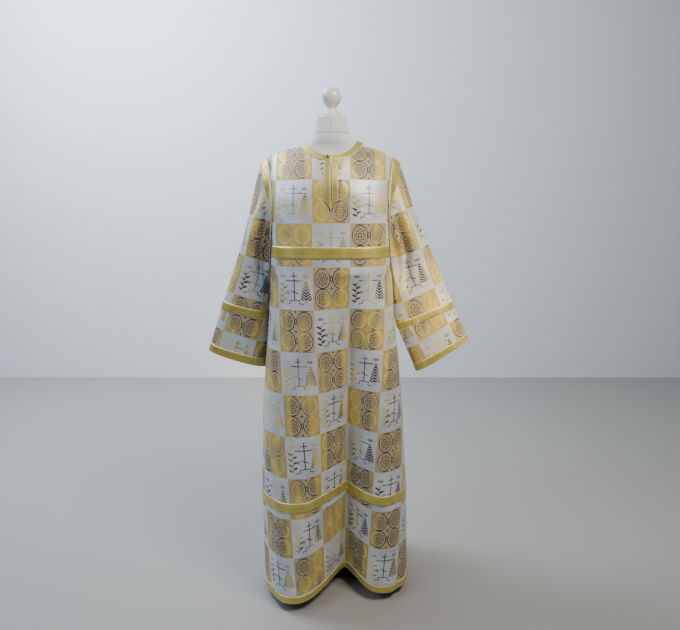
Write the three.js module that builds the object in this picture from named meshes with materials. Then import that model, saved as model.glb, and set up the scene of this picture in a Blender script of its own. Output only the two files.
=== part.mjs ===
// A sticharion, the long wide-sleeved robe of the Eastern rite, worn by a limbless dress form on a stand.
// Millimetres, +Z up, the front towards -Y. The origin is on the floor, under the middle of the stand's hub.
// "right" and "left" are the wearer's: the right side is at -X.
//
// The robe is cut as a front and a back, sewn at the shoulders and sides, with two tube sleeves set into the
// armholes. Woven bands are sewn over the neckline, the front slit, the armholes, the chest, the sleeves, the
// cuffs, below the knee and along the hem. Each panel is a wall on a grid: columns run from one side edge to
// the other and rows from the shoulders to the hem. A band is made from its panel's own points, moved out.
import * as THREE from "three";
import { mergeVertices } from "three/addons/utils/BufferGeometryUtils.js";

const { abs, asin, cos, exp, hypot, max, min, PI, pow, sign, sin, sqrt } = Math;

// Walls and seams.
const CLOTH = 2.0; // the brocade with its backing
const BAND = 1.2; // a woven band
const SEAM = 0.3; // between two pieces sewn edge to edge
const BAND_LIFT = 0.3; // a band above the rows that it is made from
const LOOSE_BAND_LIFT = 1.0; // a band whose points lie between its panel's

// The robe's levels, measured up from the floor.
const HEM_Z = 30;
const HEM_BAND_Z = 53;
const KNEE_BAND_Z = [332, 364];
const CHEST_BAND_Z = [1107, 1143];
const CHEST_BAND_INSET = 4; // columns by which its ends stay clear of the sleeves
const UNDERARM_Z = 1060;
const SHOULDER = { right: 195, left: 188, tipZ: 1409, topZ: 1480, bend: 1.25 };
const NECK = { halfWidth: 76, front: 82, back: 62, band: 22 };
const SLIT = { halfWidth: 1.5, endZ: 1276 };
const PLACKET = { width: 19, cornerZ: 1264, pointZ: 1250 };
const SHOULDER_DROP = 165; // how far below the shoulder line the chest reaches its full depth
const SHOULDER_ROUND = 1.5; // exponent of that rounding
const CORNER = 3; // exponent of the plan's superellipse
const ARMHOLE_DIP = 0.088; // how far the armhole cuts into the panel's half width

// The robe's plan at several levels: its right and left limits, and its depth to the front and to the back.
const PLAN = [
  { z: 30, right: -229, left: 256, front: 264, back: 206 },
  { z: 350, right: -232, left: 246, front: 238, back: 190 },
  { z: 690, right: -220, left: 223, front: 190, back: 160 },
  { z: 930, right: -198, left: 197, front: 158, back: 138 },
  { z: 1115, right: -191, left: 182, front: 142, back: 124 },
  { z: 1300, right: -195, left: 188, front: 129, back: 114 },
  { z: 1480, right: -202, left: 195, front: 120, back: 106 },
];

// Hanging folds: a trough runs down from top to the hem, where it is depth deep and width wide to each side.
// x is where it lies at the top and hemX at the hem, side is -1 at the front and 1 at the back.
const FOLDS = [
  { side: -1, top: 1060, x: 57, hemX: 43, depth: 160, width: 66, growth: 0.7, lift: 30 },
  { side: -1, top: 900, x: 4, hemX: -36, depth: 32, width: 70, growth: 1.1, lift: 6 },
  { side: -1, top: 900, x: 182, hemX: 166, depth: 46, width: 92, growth: 1, lift: 0 },
  { side: -1, top: 700, x: -178, hemX: -196, depth: 16, width: 22, growth: 1.2, lift: 0 },
  { side: -1, top: 640, x: 196, hemX: 214, depth: 14, width: 20, growth: 1.2, lift: 0 },
  { side: 1, top: 1090, x: -52, hemX: -74, depth: 96, width: 52, growth: 0.8, lift: 14 },
  { side: 1, top: 1040, x: 66, hemX: 92, depth: 84, width: 50, growth: 0.85, lift: 12 },
  { side: 1, top: 720, x: -168, hemX: -186, depth: 30, width: 26, growth: 1.1, lift: 0 },
];

// A sleeve's two edges, from the armhole to the cuff: x out from the middle, and z. depth is half its opening
// from front to back and set is how far its middle lies behind the shoulder line.
const SLEEVE_SHARES = [0, 0.05, 0.24, 0.45, 0.71, 1];
const SLEEVES = [
  {
    name: "right",
    side: -1,
    upper: [[195, 1409], [219, 1383], [256, 1256], [293, 1127], [350, 967], [408, 793]],
    lower: [[193, 1060], [202, 1049], [208, 1022], [211, 986], [214, 930], [222, 736]],
    depth: [66, 62, 56, 52, 49, 48],
    set: [0, 4, 10, 16, 22, 26],
  },
  {
    name: "left",
    side: 1,
    upper: [[188, 1409], [211, 1384], [261, 1244], [313, 1127], [384, 967], [447, 832]],
    lower: [[186, 1060], [195, 1049], [204, 1014], [210, 966], [217, 893], [280, 722]],
    depth: [66, 60, 52, 46, 40, 37],
    set: [0, 4, 8, 12, 14, 14],
  },
];
const SLEEVE_ROWS = [0, 0.05, 0.1, 0.17, 0.25, 0.34, 0.44, 0.54, 0.63, 0.722, 0.768, 0.86, 0.958, 1];
const SLEEVE_BANDS = { armhole: [0, 0.05], upper: [0.722, 0.768], cuff: [0.958, 1] };
const SLEEVE_AROUND = 28;
const SLEEVE_CORNER = 2.3;
const SLEEVE_SEAM = 2; // a sleeve's wall starts this far out of the armhole's edge, and twice that underneath
const SLEEVE_BLEND = 0.35; // share of the sleeve over which the armhole's shape fades

// A trough along each face of a sleeve, beside the body: how deep, where round the sleeve in half turns from
// the upper edge, how wide there, and the shares of the length where it is deepest and where it has faded.
const SLEEVE_FOLDS = [
  { face: -1, depth: 26, around: 0.6, spread: 0.17, deepest: 0.26, reach: 0.24 },
  { face: 1, depth: 16, around: 0.5, spread: 0.2, deepest: 0.36, reach: 0.26 },
];

// The dress form: half width, and depth to the front and back, at several levels.
const FORM = [
  { z: 842, half: 150, front: 104, back: 96 },
  { z: 850, half: 156, front: 110, back: 102 },
  { z: 940, half: 152, front: 112, back: 100 },
  { z: 1050, half: 138, front: 106, back: 90 },
  { z: 1150, half: 150, front: 120, back: 98 },
  { z: 1250, half: 162, front: 118, back: 100 },
  { z: 1320, half: 168, front: 104, back: 90 },
  { z: 1362, half: 172, front: 84, back: 74 },
  { z: 1390, half: 170, front: 64, back: 58 },
  { z: 1410, half: 156, front: 50, back: 46 },
  { z: 1427, half: 124, front: 46, back: 42 },
  { z: 1442, half: 86, front: 44, back: 40 },
  { z: 1458, half: 62, front: 48, back: 42 },
  { z: 1485, half: 52, front: 49, back: 46 },
  { z: 1528, half: 44, front: 44, back: 44 },
];
const FORM_TOP = { half: 36, z: 1531 };
const FORM_CORNER = 2.25;

// The stand.
const KNOB = [[0, 1531.5], [31, 1531.5], [31, 1536], [24, 1543], [15, 1549], [14, 1554], [19, 1561], [27, 1572],
  [30, 1585], [28.5, 1597], [22, 1608], [12, 1615], [0, 1617.5]];
const SOCKET = { radius: 22, bottom: 12.3, top: 46 };
const POLE = { radius: 14, bottom: 46.3, top: 841.7 };
const BASE = { radius: 60, height: 12, legWidth: 36 };
const LEGS = [
  { angle: -60, reach: 226 },
  { angle: 60, reach: 226 },
  { angle: 180, reach: 165 },
];
const BUTTON = { radius: 5.5, x: -9, below: 9, flatten: 0.8 };

const FINISHES = {
  brocade: { color: 0xd8d2c4, roughness: 0.55, metalness: 0.1 },
  band: { color: 0xc2a33c, roughness: 0.45, metalness: 0.4 },
  jersey: { color: 0xe2e6e6, roughness: 0.9, metalness: 0 },
  lacquer: { color: 0xe6dcd8, roughness: 0.25, metalness: 0 },
  blackSteel: { color: 0x1c1c1e, roughness: 0.5, metalness: 0.6 },
  gilt: { color: 0xc9a13a, roughness: 0.25, metalness: 0.9 },
};

// ---- Curves ----

// A smooth curve through rows of (at, value), Hermite pieces with the neighbours' mean slope.
function curveThrough(at, values, where) {
  const last = at.length - 1;
  const ascending = at[last] > at[0] ? 1 : -1;
  let i = 0;
  while (i < last - 1 && (where - at[i + 1]) * ascending > 0) i += 1;
  const slope = (j) => (values[min(j + 1, last)] - values[max(j - 1, 0)]) / (at[min(j + 1, last)] - at[max(j - 1, 0)]);
  const width = at[i + 1] - at[i];
  const t = min(1, max(0, (where - at[i]) / width));
  const rise = t * t * (3 - 2 * t);
  const lead = t * (1 - t) * (1 - t) * width * slope(i);
  const tail = t * t * (t - 1) * width * slope(i + 1);
  return values[i] + (values[i + 1] - values[i]) * rise + lead + tail;
}

const planLevels = PLAN.map((row) => row.z);
const planAt = (column, z) => curveThrough(planLevels, PLAN.map((row) => row[column]), z);
const mix = (a, b, share) => a + (b - a) * share;
const smooth = (t) => t * t * (3 - 2 * t);
const clamp01 = (t) => min(1, max(0, t));

// ---- The body of the robe ----

// How far out towards the shoulder's tip a place is, and the shoulder line's height there.
const tipShare = (x) => abs(x) / (x < 0 ? SHOULDER.right : SHOULDER.left);
const shoulderZ = (x) => SHOULDER.topZ - (SHOULDER.topZ - SHOULDER.tipZ) * pow(tipShare(x), SHOULDER.bend);

// How far from the shoulder line towards its full depth the cloth has come, from 0 to 1.
const roundAt = (drop) => pow(1 - pow(1 - clamp01(drop), SHOULDER_ROUND), 1 / SHOULDER_ROUND);
const dropForRound = (share) => 1 - pow(1 - pow(clamp01(share), SHOULDER_ROUND), 1 / SHOULDER_ROUND);

// The cloth's depth in front of (side -1) or behind (side 1) the shoulder line, with its folds, before the
// rounding of the shoulders.
function fullDepthAt(side, x, z) {
  const [right, left] = [planAt("right", z), planAt("left", z)];
  const offset = clamp01(abs(x - (left + right) / 2) / ((left - right) / 2));
  const share = pow(1 - pow(offset, CORNER), 1 / CORNER);
  const full = planAt(side < 0 ? "front" : "back", z) * share;
  const folds = FOLDS.filter((fold) => fold.side === side && z < fold.top);
  const sunk = folds.map((fold) => {
    const fall = (fold.top - z) / (fold.top - HEM_Z);
    const across = abs(x - mix(fold.x, fold.hemX, fall)) / fold.width;
    return fold.depth * pow(fall, fold.growth) * exp(-pow(across, 1.6));
  });
  const kept = 1 - pow(1 - share, 4);
  return full - sunk.reduce((a, b) => a + b, 0) * kept;
}

const depthAt = (side, x, z) => fullDepthAt(side, x, z) * roundAt((shoulderZ(x) - z) / SHOULDER_DROP);

// How far the hem is drawn up in a trough, at a point of the skirt.
function liftAt(side, x, z) {
  return FOLDS.filter((fold) => fold.side === side && z < fold.top)
    .map((fold) => {
      const fall = (fold.top - z) / (fold.top - HEM_Z);
      const across = abs(x - mix(fold.x, fold.hemX, fall)) / (1.2 * fold.width);
      return fold.lift * fall * fall * exp(-across * across);
    })
    .reduce((a, b) => a + b, 0);
}

// The plan's outline at a level below the armholes: count + 1 points a like length apart, from side to side.
function sectionAt(side, z, count) {
  const FINE = 240;
  const [right, left] = [planAt("right", z), planAt("left", z)];
  const fine = Array.from({ length: FINE + 1 }, (_, i) => {
    const turn = -PI / 2 + (PI * i) / FINE;
    const reach = pow(pow(abs(sin(turn)), CORNER) + pow(abs(cos(turn)), CORNER), -1 / CORNER);
    const x = (left + right) / 2 + ((left - right) / 2) * reach * sin(turn);
    return [x, depthAt(side, x, z)];
  });
  fine[0][1] = fine[FINE][1] = 0;
  const run = [0];
  for (let i = 1; i <= FINE; i += 1)
    run.push(run[i - 1] + hypot(fine[i][0] - fine[i - 1][0], fine[i][1] - fine[i - 1][1]));
  return Array.from({ length: count + 1 }, (_, j) => {
    const goal = (run[FINE] * j) / count;
    let i = 0;
    while (i < FINE - 1 && run[i + 1] < goal) i += 1;
    const t = (goal - run[i]) / (run[i + 1] - run[i]);
    return { x: mix(fine[i][0], fine[i + 1][0], t), depth: mix(fine[i][1], fine[i + 1][1], t) };
  });
}

// Where the columns start, along the shoulders and the neckline.
function columnTops(slit, shoulderColumns) {
  const neck = Array.from({ length: 6 }, (_, k) => NECK.halfWidth * sin(((k + 1) * PI) / 12));
  const half = (tipX) => [
    ...neck,
    ...Array.from({ length: shoulderColumns }, (_, k) => mix(NECK.halfWidth, tipX, (k + 1) / shoulderColumns)),
  ];
  const middle = slit ? [-SLIT.halfWidth, SLIT.halfWidth] : [0];
  return [...half(SHOULDER.right).map((x) => -x).reverse(), ...middle, ...half(SHOULDER.left)];
}

// The height of the panel's top edge: the shoulder line, or the neckline's cut inside it.
function topZ(side, x) {
  const out = abs(x) / NECK.halfWidth;
  if (out >= 1) return shoulderZ(x);
  const y = (side < 0 ? NECK.front : NECK.back) * sqrt(1 - out * out);
  return yokeZ(side, x, y);
}

// The cloth's height over a point of the plan, near the shoulders.
function yokeZ(side, x, y) {
  let z = shoulderZ(x) - 40;
  for (let i = 0; i < 12; i += 1) {
    z = shoulderZ(x) - SHOULDER_DROP * dropForRound(y / fullDepthAt(side, x, z));
  }
  return z;
}

// A front or back panel's points, row by row from the top.
function panelPoints(side, columns, yokeShares, levels) {
  const under = sectionAt(side, UNDERARM_Z, columns.length - 1);
  const yoke = yokeShares.map((v) =>
    columns.map((top, j) => {
      const dip = 1 - ARMHOLE_DIP * sin(PI * pow(v, 0.8)) * pow(tipShare(top), 4);
      const x = mix(top, under[j].x, smooth(v)) * dip;
      const z = mix(topZ(side, top), UNDERARM_Z, v);
      const atEnd = (j === 0 || j === columns.length - 1) && v === 1;
      const depth = atEnd || v === 0 && abs(top) >= NECK.halfWidth - 0.01 ? 0 : depthAt(side, x, z);
      return new THREE.Vector3(x, side * max(depth, SEAM / 2), z);
    }));
  const skirt = levels.map((z) =>
    sectionAt(side, z, columns.length - 1).map(({ x, depth }) =>
      new THREE.Vector3(x, side * max(depth, SEAM / 2), z + liftAt(side, x, z))));
  return [...yoke, ...skirt];
}

// ---- Solids from grids ----

// Outward normals of a grid of points, row by row; wrap joins the last column to the first.
function gridNormals(points, wrap) {
  const [rows, columns] = [points.length, points[0].length];
  return points.map((row, i) =>
    row.map((_, j) => {
      const beside = (step) => (wrap ? (j + step + columns) % columns : min(columns - 1, max(0, j + step)));
      const across = points[i][beside(1)].clone().sub(points[i][beside(-1)]);
      const down = points[min(rows - 1, i + 1)][j].clone().sub(points[max(0, i - 1)][j]);
      return across.cross(down).normalize();
    }));
}

// A wall on a grid, between two distances along its normals. Cells that open(i, j) names are left out.
function wallOn(points, normals, inner, outer, { wrap = false, open = () => false } = {}) {
  const [rows, columns] = [points.length, points[0].length];
  const positions = [];
  for (const distance of [outer, inner])
    points.forEach((row, i) =>
      row.forEach((p, j) => positions.push(...p.clone().addScaledVector(normals[i][j], distance).toArray())));
  const layer = rows * columns;
  const at = (i, j) => i * columns + ((j + columns) % columns);
  const cellsAcross = wrap ? columns : columns - 1;
  const kept = (i, j) =>
    i >= 0 && i < rows - 1 && (wrap || (j >= 0 && j < cellsAcross)) && !open(i, (j + cellsAcross) % cellsAcross);
  const faces = [];
  const quad = (a, b, c, d) => faces.push(a, b, c, a, c, d);
  for (let i = 0; i < rows - 1; i += 1)
    for (let j = 0; j < cellsAcross; j += 1) {
      if (!kept(i, j)) continue;
      const [a, b, c, d] = [at(i, j), at(i, j + 1), at(i + 1, j + 1), at(i + 1, j)];
      quad(a, d, c, b);
      quad(a + layer, b + layer, c + layer, d + layer);
      if (!kept(i - 1, j)) quad(b, b + layer, a + layer, a);
      if (!kept(i + 1, j)) quad(d, d + layer, c + layer, c);
      if (!kept(i, j - 1)) quad(a, a + layer, d + layer, d);
      if (!kept(i, j + 1)) quad(c, c + layer, b + layer, b);
    }
  const geometry = new THREE.BufferGeometry();
  geometry.setAttribute("position", new THREE.Float32BufferAttribute(positions, 3));
  geometry.setIndex(faces);
  return facingOut(mergeVertices(geometry, 1e-4));
}

// Turns every face round if the closed surface's volume comes out negative.
function facingOut(geometry) {
  const p = geometry.getAttribute("position");
  const index = geometry.getIndex();
  const corner = (k) => new THREE.Vector3().fromBufferAttribute(p, index.getX(k));
  let volume = 0;
  for (let k = 0; k < index.count; k += 3) volume += corner(k).dot(corner(k + 1).cross(corner(k + 2)));
  if (volume < 0)
    for (let k = 0; k < index.count; k += 3) {
      const [b, c] = [index.getX(k + 1), index.getX(k + 2)];
      index.setX(k + 1, c);
      index.setX(k + 2, b);
    }
  return geometry;
}

const garment = new THREE.Group();

function add(name, geometry, finish) {
  const mesh = new THREE.Mesh(geometry, new THREE.MeshStandardMaterial(FINISHES[finish]));
  mesh.name = name;
  garment.add(mesh);
  return mesh;
}

// ---- Front and back ----

const YOKE_SHARES = [0, 0.03, 0.09, 0.18, 0.29, 0.41, 0.53, 0.66, 0.83, 1];
const SKIRT_LEVELS = [990, 910, 830, 745, 655, 565, 470, KNEE_BAND_Z[1], KNEE_BAND_Z[0], 255, 180, 110, HEM_BAND_Z, HEM_Z];

// A panel's grid and its normals, which point away from the wearer.
function panel(side, slit, shoulderColumns) {
  const columns = columnTops(slit, shoulderColumns);
  const points = panelPoints(side, columns, YOKE_SHARES, SKIRT_LEVELS);
  const normals = gridNormals(points, false);
  normals.forEach((row) => row.forEach((n) => n.y * side < 0 && n.negate()));
  normals.forEach((row, i) =>
    [0, row.length - 1].forEach((j) => {
      if (i >= YOKE_SHARES.length - 1) row[j].set(sign(points[i][j].x), 0, 0);
    }));
  normals[0].forEach((n, j) => abs(columns[j]) >= NECK.halfWidth - 0.01 && n.setY(0).normalize());
  return { side, columns, points, normals };
}

// The rows of a band across a panel, between two levels: cut from the panel where it has no row there.
function bandRows(piece, low, high) {
  const rows = [high, low].map((z) => rowAtLevel(piece, z));
  return { points: rows.map((row) => row.points), normals: rows.map((row) => row.normals) };
}

// A row of points on a panel at one level, between its two nearest rows.
function rowAtLevel(piece, z) {
  const count = piece.columns.length;
  const found = { points: [], normals: [] };
  for (let j = 0; j < count; j += 1) {
    let i = 0;
    const level = (k) => piece.points[k][j].z - liftAt(piece.side, piece.points[k][j].x, z);
    while (i < piece.points.length - 2 && level(i + 1) > z + 0.01) i += 1;
    const t = clamp01((level(i) - z) / (level(i) - level(i + 1)));
    found.points.push(piece.points[i][j].clone().lerp(piece.points[i + 1][j], t));
    found.normals.push(piece.normals[i][j].clone().lerp(piece.normals[i + 1][j], t).normalize());
  }
  return found;
}

function addPanels() {
  const front = panel(-1, true, 12);
  const back = panel(1, false, 10);
  const middle = front.columns.findIndex((x) => x > 0) - 1;
  const inSlit = (i, j) => j === middle && front.points[i + 1][j].z > SLIT.endZ - 12;
  add("front_panel", wallOn(front.points, front.normals, -CLOTH / 2, CLOTH / 2, { open: inSlit }), "brocade");
  add("back_panel", wallOn(back.points, back.normals, -CLOTH / 2, CLOTH / 2), "brocade");
  return { front, back };
}

const BAND_FOOT = CLOTH / 2 + BAND_LIFT;

function addBodyBands({ front, back }) {
  for (const [where, piece] of [["front", front], ["back", back]])
    for (const [what, [low, high]] of [
      ["knee_band", KNEE_BAND_Z],
      ["hem_band", [HEM_Z, HEM_BAND_Z]],
    ]) {
      const { points, normals } = bandRows(piece, low, high);
      add(`${where}_${what}`, wallOn(points, normals, BAND_FOOT, BAND_FOOT + BAND), "band");
    }
}

// A strip of a band across the chest.
function addChestBand({ front }) {
  const whole = bandRows(front, ...CHEST_BAND_Z);
  const [points, normals] = [whole.points, whole.normals].map((rows) =>
    rows.map((row) => row.slice(CHEST_BAND_INSET, -CHEST_BAND_INSET)));
  const foot = CLOTH / 2 + LOOSE_BAND_LIFT;
  add("chest_band", wallOn(points, normals, foot, foot + BAND), "band");
}

// ---- Neckline and front slit ----

const yokePoint = (side, x, y) => new THREE.Vector3(x, side * max(y, SEAM / 2), yokeZ(side, x, y));

// A strip's normals, which point away from the wearer, with its shoulder ends square to the shoulder seam.
function stripNormals(points, side, squareEnds) {
  const normals = gridNormals(points, false);
  normals.forEach((row) => {
    row.forEach((n) => n.y * side < 0 && n.negate());
    squareEnds.forEach((j) => row.at(j).setY(0).normalize());
  });
  return normals;
}

// Rows along the neckline between two angles from the front or back middle, each further out on the cloth.
function neckRows(side, from, to, steps) {
  const depth = side < 0 ? NECK.front : NECK.back;
  return [0, 0.5, 1].map((share) =>
    Array.from({ length: steps + 1 }, (_, k) => {
      const turn = mix(from, to, k / steps);
      const start = [NECK.halfWidth * sin(turn), depth * abs(cos(turn))];
      const away = [depth * sin(turn), NECK.halfWidth * abs(cos(turn))];
      const scale = 1 / hypot(...away);
      const edge = yokePoint(side, ...start);
      let [near, far] = [0, NECK.band * share];
      const there = (s) => yokePoint(side, start[0] + s * scale * away[0], start[1] + s * scale * away[1]);
      for (let i = 0; i < 20; i += 1) {
        const middle = (near + far) / 2;
        if (there(middle).distanceTo(edge) < NECK.band * share) near = middle;
        else far = middle;
      }
      return there(near);
    }));
}

function addNeckBands() {
  const foot = CLOTH / 2 + LOOSE_BAND_LIFT;
  const slit = asin(SLIT.halfWidth / NECK.halfWidth);
  const strips = [
    { name: "neck_band_right", side: -1, from: -PI / 2, to: -slit, steps: 9, square: [0] },
    { name: "neck_band_left", side: -1, from: slit, to: PI / 2, steps: 9, square: [-1] },
    { name: "neck_band_back", side: 1, from: -PI / 2, to: PI / 2, steps: 16, square: [0, -1] },
  ];
  return strips.map(({ name, side, from, to, steps, square }) => {
    const points = neckRows(side, from, to, steps);
    const normals = stripNormals(points, side, square);
    add(name, wallOn(points, normals, foot, foot + BAND), "band");
    return points;
  });
}

// The placket: a band down each side of the slit, mitred where they meet below it.
function addPlacket([rightBand]) {
  const foot = CLOTH / 2 + LOOSE_BAND_LIFT;
  const lowest = rightBand.at(-1);
  const topAt = (x) => {
    const beyond = lowest.findIndex((p) => p.x >= -x);
    const i = beyond < 1 ? lowest.length - 1 : beyond;
    const t = clamp01((-x - lowest[i - 1].x) / (lowest[i].x - lowest[i - 1].x));
    return mix(lowest[i - 1].z, lowest[i].z, t) - 4 * SEAM;
  };
  const outer = SLIT.halfWidth + PLACKET.width;
  for (const [name, hand] of [["right", -1], ["left", 1]]) {
    const shares = [0, 0.2, 0.4, 0.6, 0.8, 1];
    const above = shares.map((v) => [SLIT.halfWidth, outer].map((x) => [x, mix(topAt(x), SLIT.endZ, v)]));
    const below = [[PLACKET.pointZ, PLACKET.cornerZ]].map(([inner, corner]) => [[SEAM, inner], [outer, corner]]);
    const rows = [...above, [[SEAM, SLIT.endZ - 3], [outer, SLIT.endZ - 3]], ...below];
    const points = rows.map((row) =>
      row.map(([x, z]) => new THREE.Vector3(hand * x, -depthAt(-1, hand * x, z), z)));
    add(`placket_${name}`, wallOn(points, stripNormals(points, -1, []), foot, foot + BAND), "band");
  }
}

function addButton([rightBand]) {
  const row = rightBand[1];
  const i = row.findIndex((p) => p.x >= BUTTON.x);
  const [a, b] = [row[i - 1], row[i]];
  const place = a.clone().lerp(b, (BUTTON.x - a.x) / (b.x - a.x));
  const shape = new THREE.SphereGeometry(BUTTON.radius, 16, 10);
  shape.scale(1, BUTTON.flatten, 1);
  const out = CLOTH / 2 + LOOSE_BAND_LIFT + BAND + BUTTON.radius + SEAM;
  shape.translate(place.x, place.y - out, place.z + 2);
  add("button", shape, "gilt");
}

// ---- Sleeves ----

// A point at a share of the length of a line of points.
function alongLine(line, share) {
  const run = [0];
  for (let i = 1; i < line.length; i += 1) run.push(run[i - 1] + line[i].distanceTo(line[i - 1]));
  const goal = share * run.at(-1);
  let i = 0;
  while (i < line.length - 2 && run[i + 1] < goal) i += 1;
  return line[i].clone().lerp(line[i + 1], clamp01((goal - run[i]) / (run[i + 1] - run[i])));
}

// The armhole's edge from the shoulder tip to the underarm, on one panel.
function armholeEdge(piece, hand) {
  const column = hand < 0 ? 0 : piece.columns.length - 1;
  return piece.points.slice(0, YOKE_SHARES.length).map((row) => row[column]);
}

// One ring of a sleeve, clear of the armhole's own shape: from the upper edge down the front and up the back.
function plainRing(sleeve, share) {
  const edge = (line, column) =>
    curveThrough(SLEEVE_SHARES, line.map((row) => row[column]), share);
  const upper = [edge(sleeve.upper, 0), edge(sleeve.upper, 1)];
  const lower = [edge(sleeve.lower, 0), edge(sleeve.lower, 1)];
  const [depth, set] = [sleeve.depth, sleeve.set].map((row) => curveThrough(SLEEVE_SHARES, row, share));
  return Array.from({ length: SLEEVE_AROUND }, (_, k) => {
    const turn = (2 * PI * k) / SLEEVE_AROUND;
    const [c, s] = [cos(turn), sin(turn)];
    const reach = pow(pow(abs(c), SLEEVE_CORNER) + pow(abs(s), SLEEVE_CORNER), -1 / SLEEVE_CORNER);
    const halfTurns = min(k, SLEEVE_AROUND - k) / (SLEEVE_AROUND / 2);
    const face = k <= SLEEVE_AROUND / 2 ? -1 : 1;
    const sunk = SLEEVE_FOLDS.filter((fold) => fold.face === face).reduce((total, fold) => {
      const across = (halfTurns - fold.around) / fold.spread;
      const along = (share - fold.deepest) / fold.reach;
      return total + fold.depth * exp(-across * across - along * along);
    }, 0);
    const x = mix(lower[0], upper[0], (1 + reach * c) / 2);
    const z = mix(lower[1], upper[1], (1 + reach * c) / 2);
    return new THREE.Vector3(sleeve.side * x, set + face * max(depth * reach * abs(s) - sunk, 0), z);
  });
}

function sleeveGrid(sleeve, { front, back }) {
  const half = SLEEVE_AROUND / 2;
  const edges = [armholeEdge(front, sleeve.side), armholeEdge(back, sleeve.side)];
  const armhole = Array.from({ length: SLEEVE_AROUND }, (_, k) => {
    const point = alongLine(edges[k <= half ? 0 : 1], min(k, SLEEVE_AROUND - k) / half);
    const under = (1 - cos((2 * PI * k) / SLEEVE_AROUND)) / 2;
    return point.add(new THREE.Vector3(sleeve.side * SLEEVE_SEAM * (1 + under), 0, 0));
  });
  [0, half].forEach((k) => armhole[k].setY(0));
  const start = plainRing(sleeve, 0);
  const points = SLEEVE_ROWS.map((share) => {
    const kept = 1 - smooth(clamp01(share / SLEEVE_BLEND));
    return plainRing(sleeve, share).map((p, k) =>
      p.addScaledVector(armhole[k].clone().sub(start[k]), kept));
  });
  const normals = gridNormals(points, true);
  const middle = points[6].reduce((sum, p) => sum.add(p), new THREE.Vector3()).divideScalar(SLEEVE_AROUND);
  if (normals[6][0].dot(points[6][0].clone().sub(middle)) < 0)
    normals.forEach((row) => row.forEach((n) => n.negate()));
  return { points, normals };
}

function addSleeve(sleeve, body) {
  const { points, normals } = sleeveGrid(sleeve, body);
  add(`sleeve_${sleeve.name}`, wallOn(points, normals, -CLOTH / 2, CLOTH / 2, { wrap: true }), "brocade");
  for (const [what, [from, to]] of Object.entries(SLEEVE_BANDS)) {
    const rows = [SLEEVE_ROWS.indexOf(from), SLEEVE_ROWS.indexOf(to) + 1];
    const wall = wallOn(points.slice(...rows), normals.slice(...rows), BAND_FOOT, BAND_FOOT + BAND, { wrap: true });
    add(`${what}_band_${sleeve.name}`, wall, "band");
  }
}

// ---- The dress form and its stand ----

// A closed solid through rings of points, with a flat cap at each end.
function loft(rings) {
  const count = rings[0].length;
  const ends = [rings[0], rings.at(-1)].map((ring) =>
    ring.reduce((sum, p) => sum.add(p), new THREE.Vector3()).divideScalar(count));
  const positions = [...rings.flat(), ...ends].flatMap((p) => p.toArray());
  const [first, last] = [rings.length * count, rings.length * count + 1];
  const faces = [];
  for (let k = 0; k < count; k += 1) {
    const next = (k + 1) % count;
    faces.push(first, next, k, last, (rings.length - 1) * count + k, (rings.length - 1) * count + next);
    for (let i = 0; i < rings.length - 1; i += 1) {
      const [a, b, c, d] = [i * count + k, i * count + next, (i + 1) * count + next, (i + 1) * count + k];
      faces.push(a, b, c, a, c, d);
    }
  }
  const geometry = new THREE.BufferGeometry();
  geometry.setAttribute("position", new THREE.Float32BufferAttribute(positions, 3));
  geometry.setIndex(faces);
  return facingOut(geometry);
}

function formRing(z, half, front, back) {
  return Array.from({ length: 32 }, (_, k) => {
    const turn = (2 * PI * k) / 32;
    const [c, s] = [cos(turn), sin(turn)];
    const reach = pow(pow(abs(c), FORM_CORNER) + pow(abs(s), FORM_CORNER), -1 / FORM_CORNER);
    return new THREE.Vector3(half * reach * c, (s < 0 ? front : back) * reach * s, z);
  });
}

function addForm() {
  const rings = FORM.map(({ z, half, front, back }) => formRing(z, half, front, back));
  const top = formRing(FORM_TOP.z, FORM_TOP.half, FORM_TOP.half, FORM_TOP.half);
  add("form_torso", loft([...rings, top]), "jersey");
  const profile = KNOB.map(([r, z]) => new THREE.Vector2(r, z));
  add("finial", new THREE.LatheGeometry(profile, 24).rotateX(PI / 2), "lacquer");
}

// A round bar standing up between two levels.
function upright(radius, bottom, top) {
  return new THREE.CylinderGeometry(radius, radius, top - bottom, 24)
    .rotateX(PI / 2)
    .translate(0, 0, (bottom + top) / 2);
}

function addStand() {
  const outline = new THREE.Shape();
  const corners = [];
  const turned = (angle, x, y) => [x * sin(angle) + y * cos(angle), -x * cos(angle) + y * sin(angle)];
  const half = BASE.legWidth / 2;
  const root = sqrt(BASE.radius * BASE.radius - half * half);
  const spread = asin(half / BASE.radius);
  LEGS.forEach(({ angle, reach }, leg) => {
    const at = (angle * PI) / 180;
    corners.push(turned(at, root, -half), turned(at, reach - 8, -half), turned(at, reach, -half + 8));
    corners.push(turned(at, reach, half - 8), turned(at, reach - 8, half), turned(at, root, half));
    const next = LEGS[(leg + 1) % LEGS.length].angle;
    const sweep = (((next - angle + 360) % 360) * PI) / 180 - 2 * spread;
    for (let k = 1; k < 6; k += 1) corners.push(turned(at + spread + (sweep * k) / 6, BASE.radius, 0));
  });
  corners.forEach(([x, y], i) => (i ? outline.lineTo(x, y) : outline.moveTo(x, y)));
  outline.closePath();
  const plate = new THREE.ExtrudeGeometry(outline, { depth: BASE.height, bevelEnabled: false, steps: 1 });
  add("base", plate, "blackSteel");
  add("socket", upright(SOCKET.radius, SOCKET.bottom, SOCKET.top), "blackSteel");
  add("pole", upright(POLE.radius, POLE.bottom, POLE.top), "blackSteel");
}

const body = addPanels();
addBodyBands(body);
addChestBand(body);
const neckBands = addNeckBands();
addPlacket(neckBands);
addButton(neckBands);
for (const sleeve of SLEEVES) addSleeve(sleeve, body);
addForm();
addStand();

export default garment;
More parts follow.
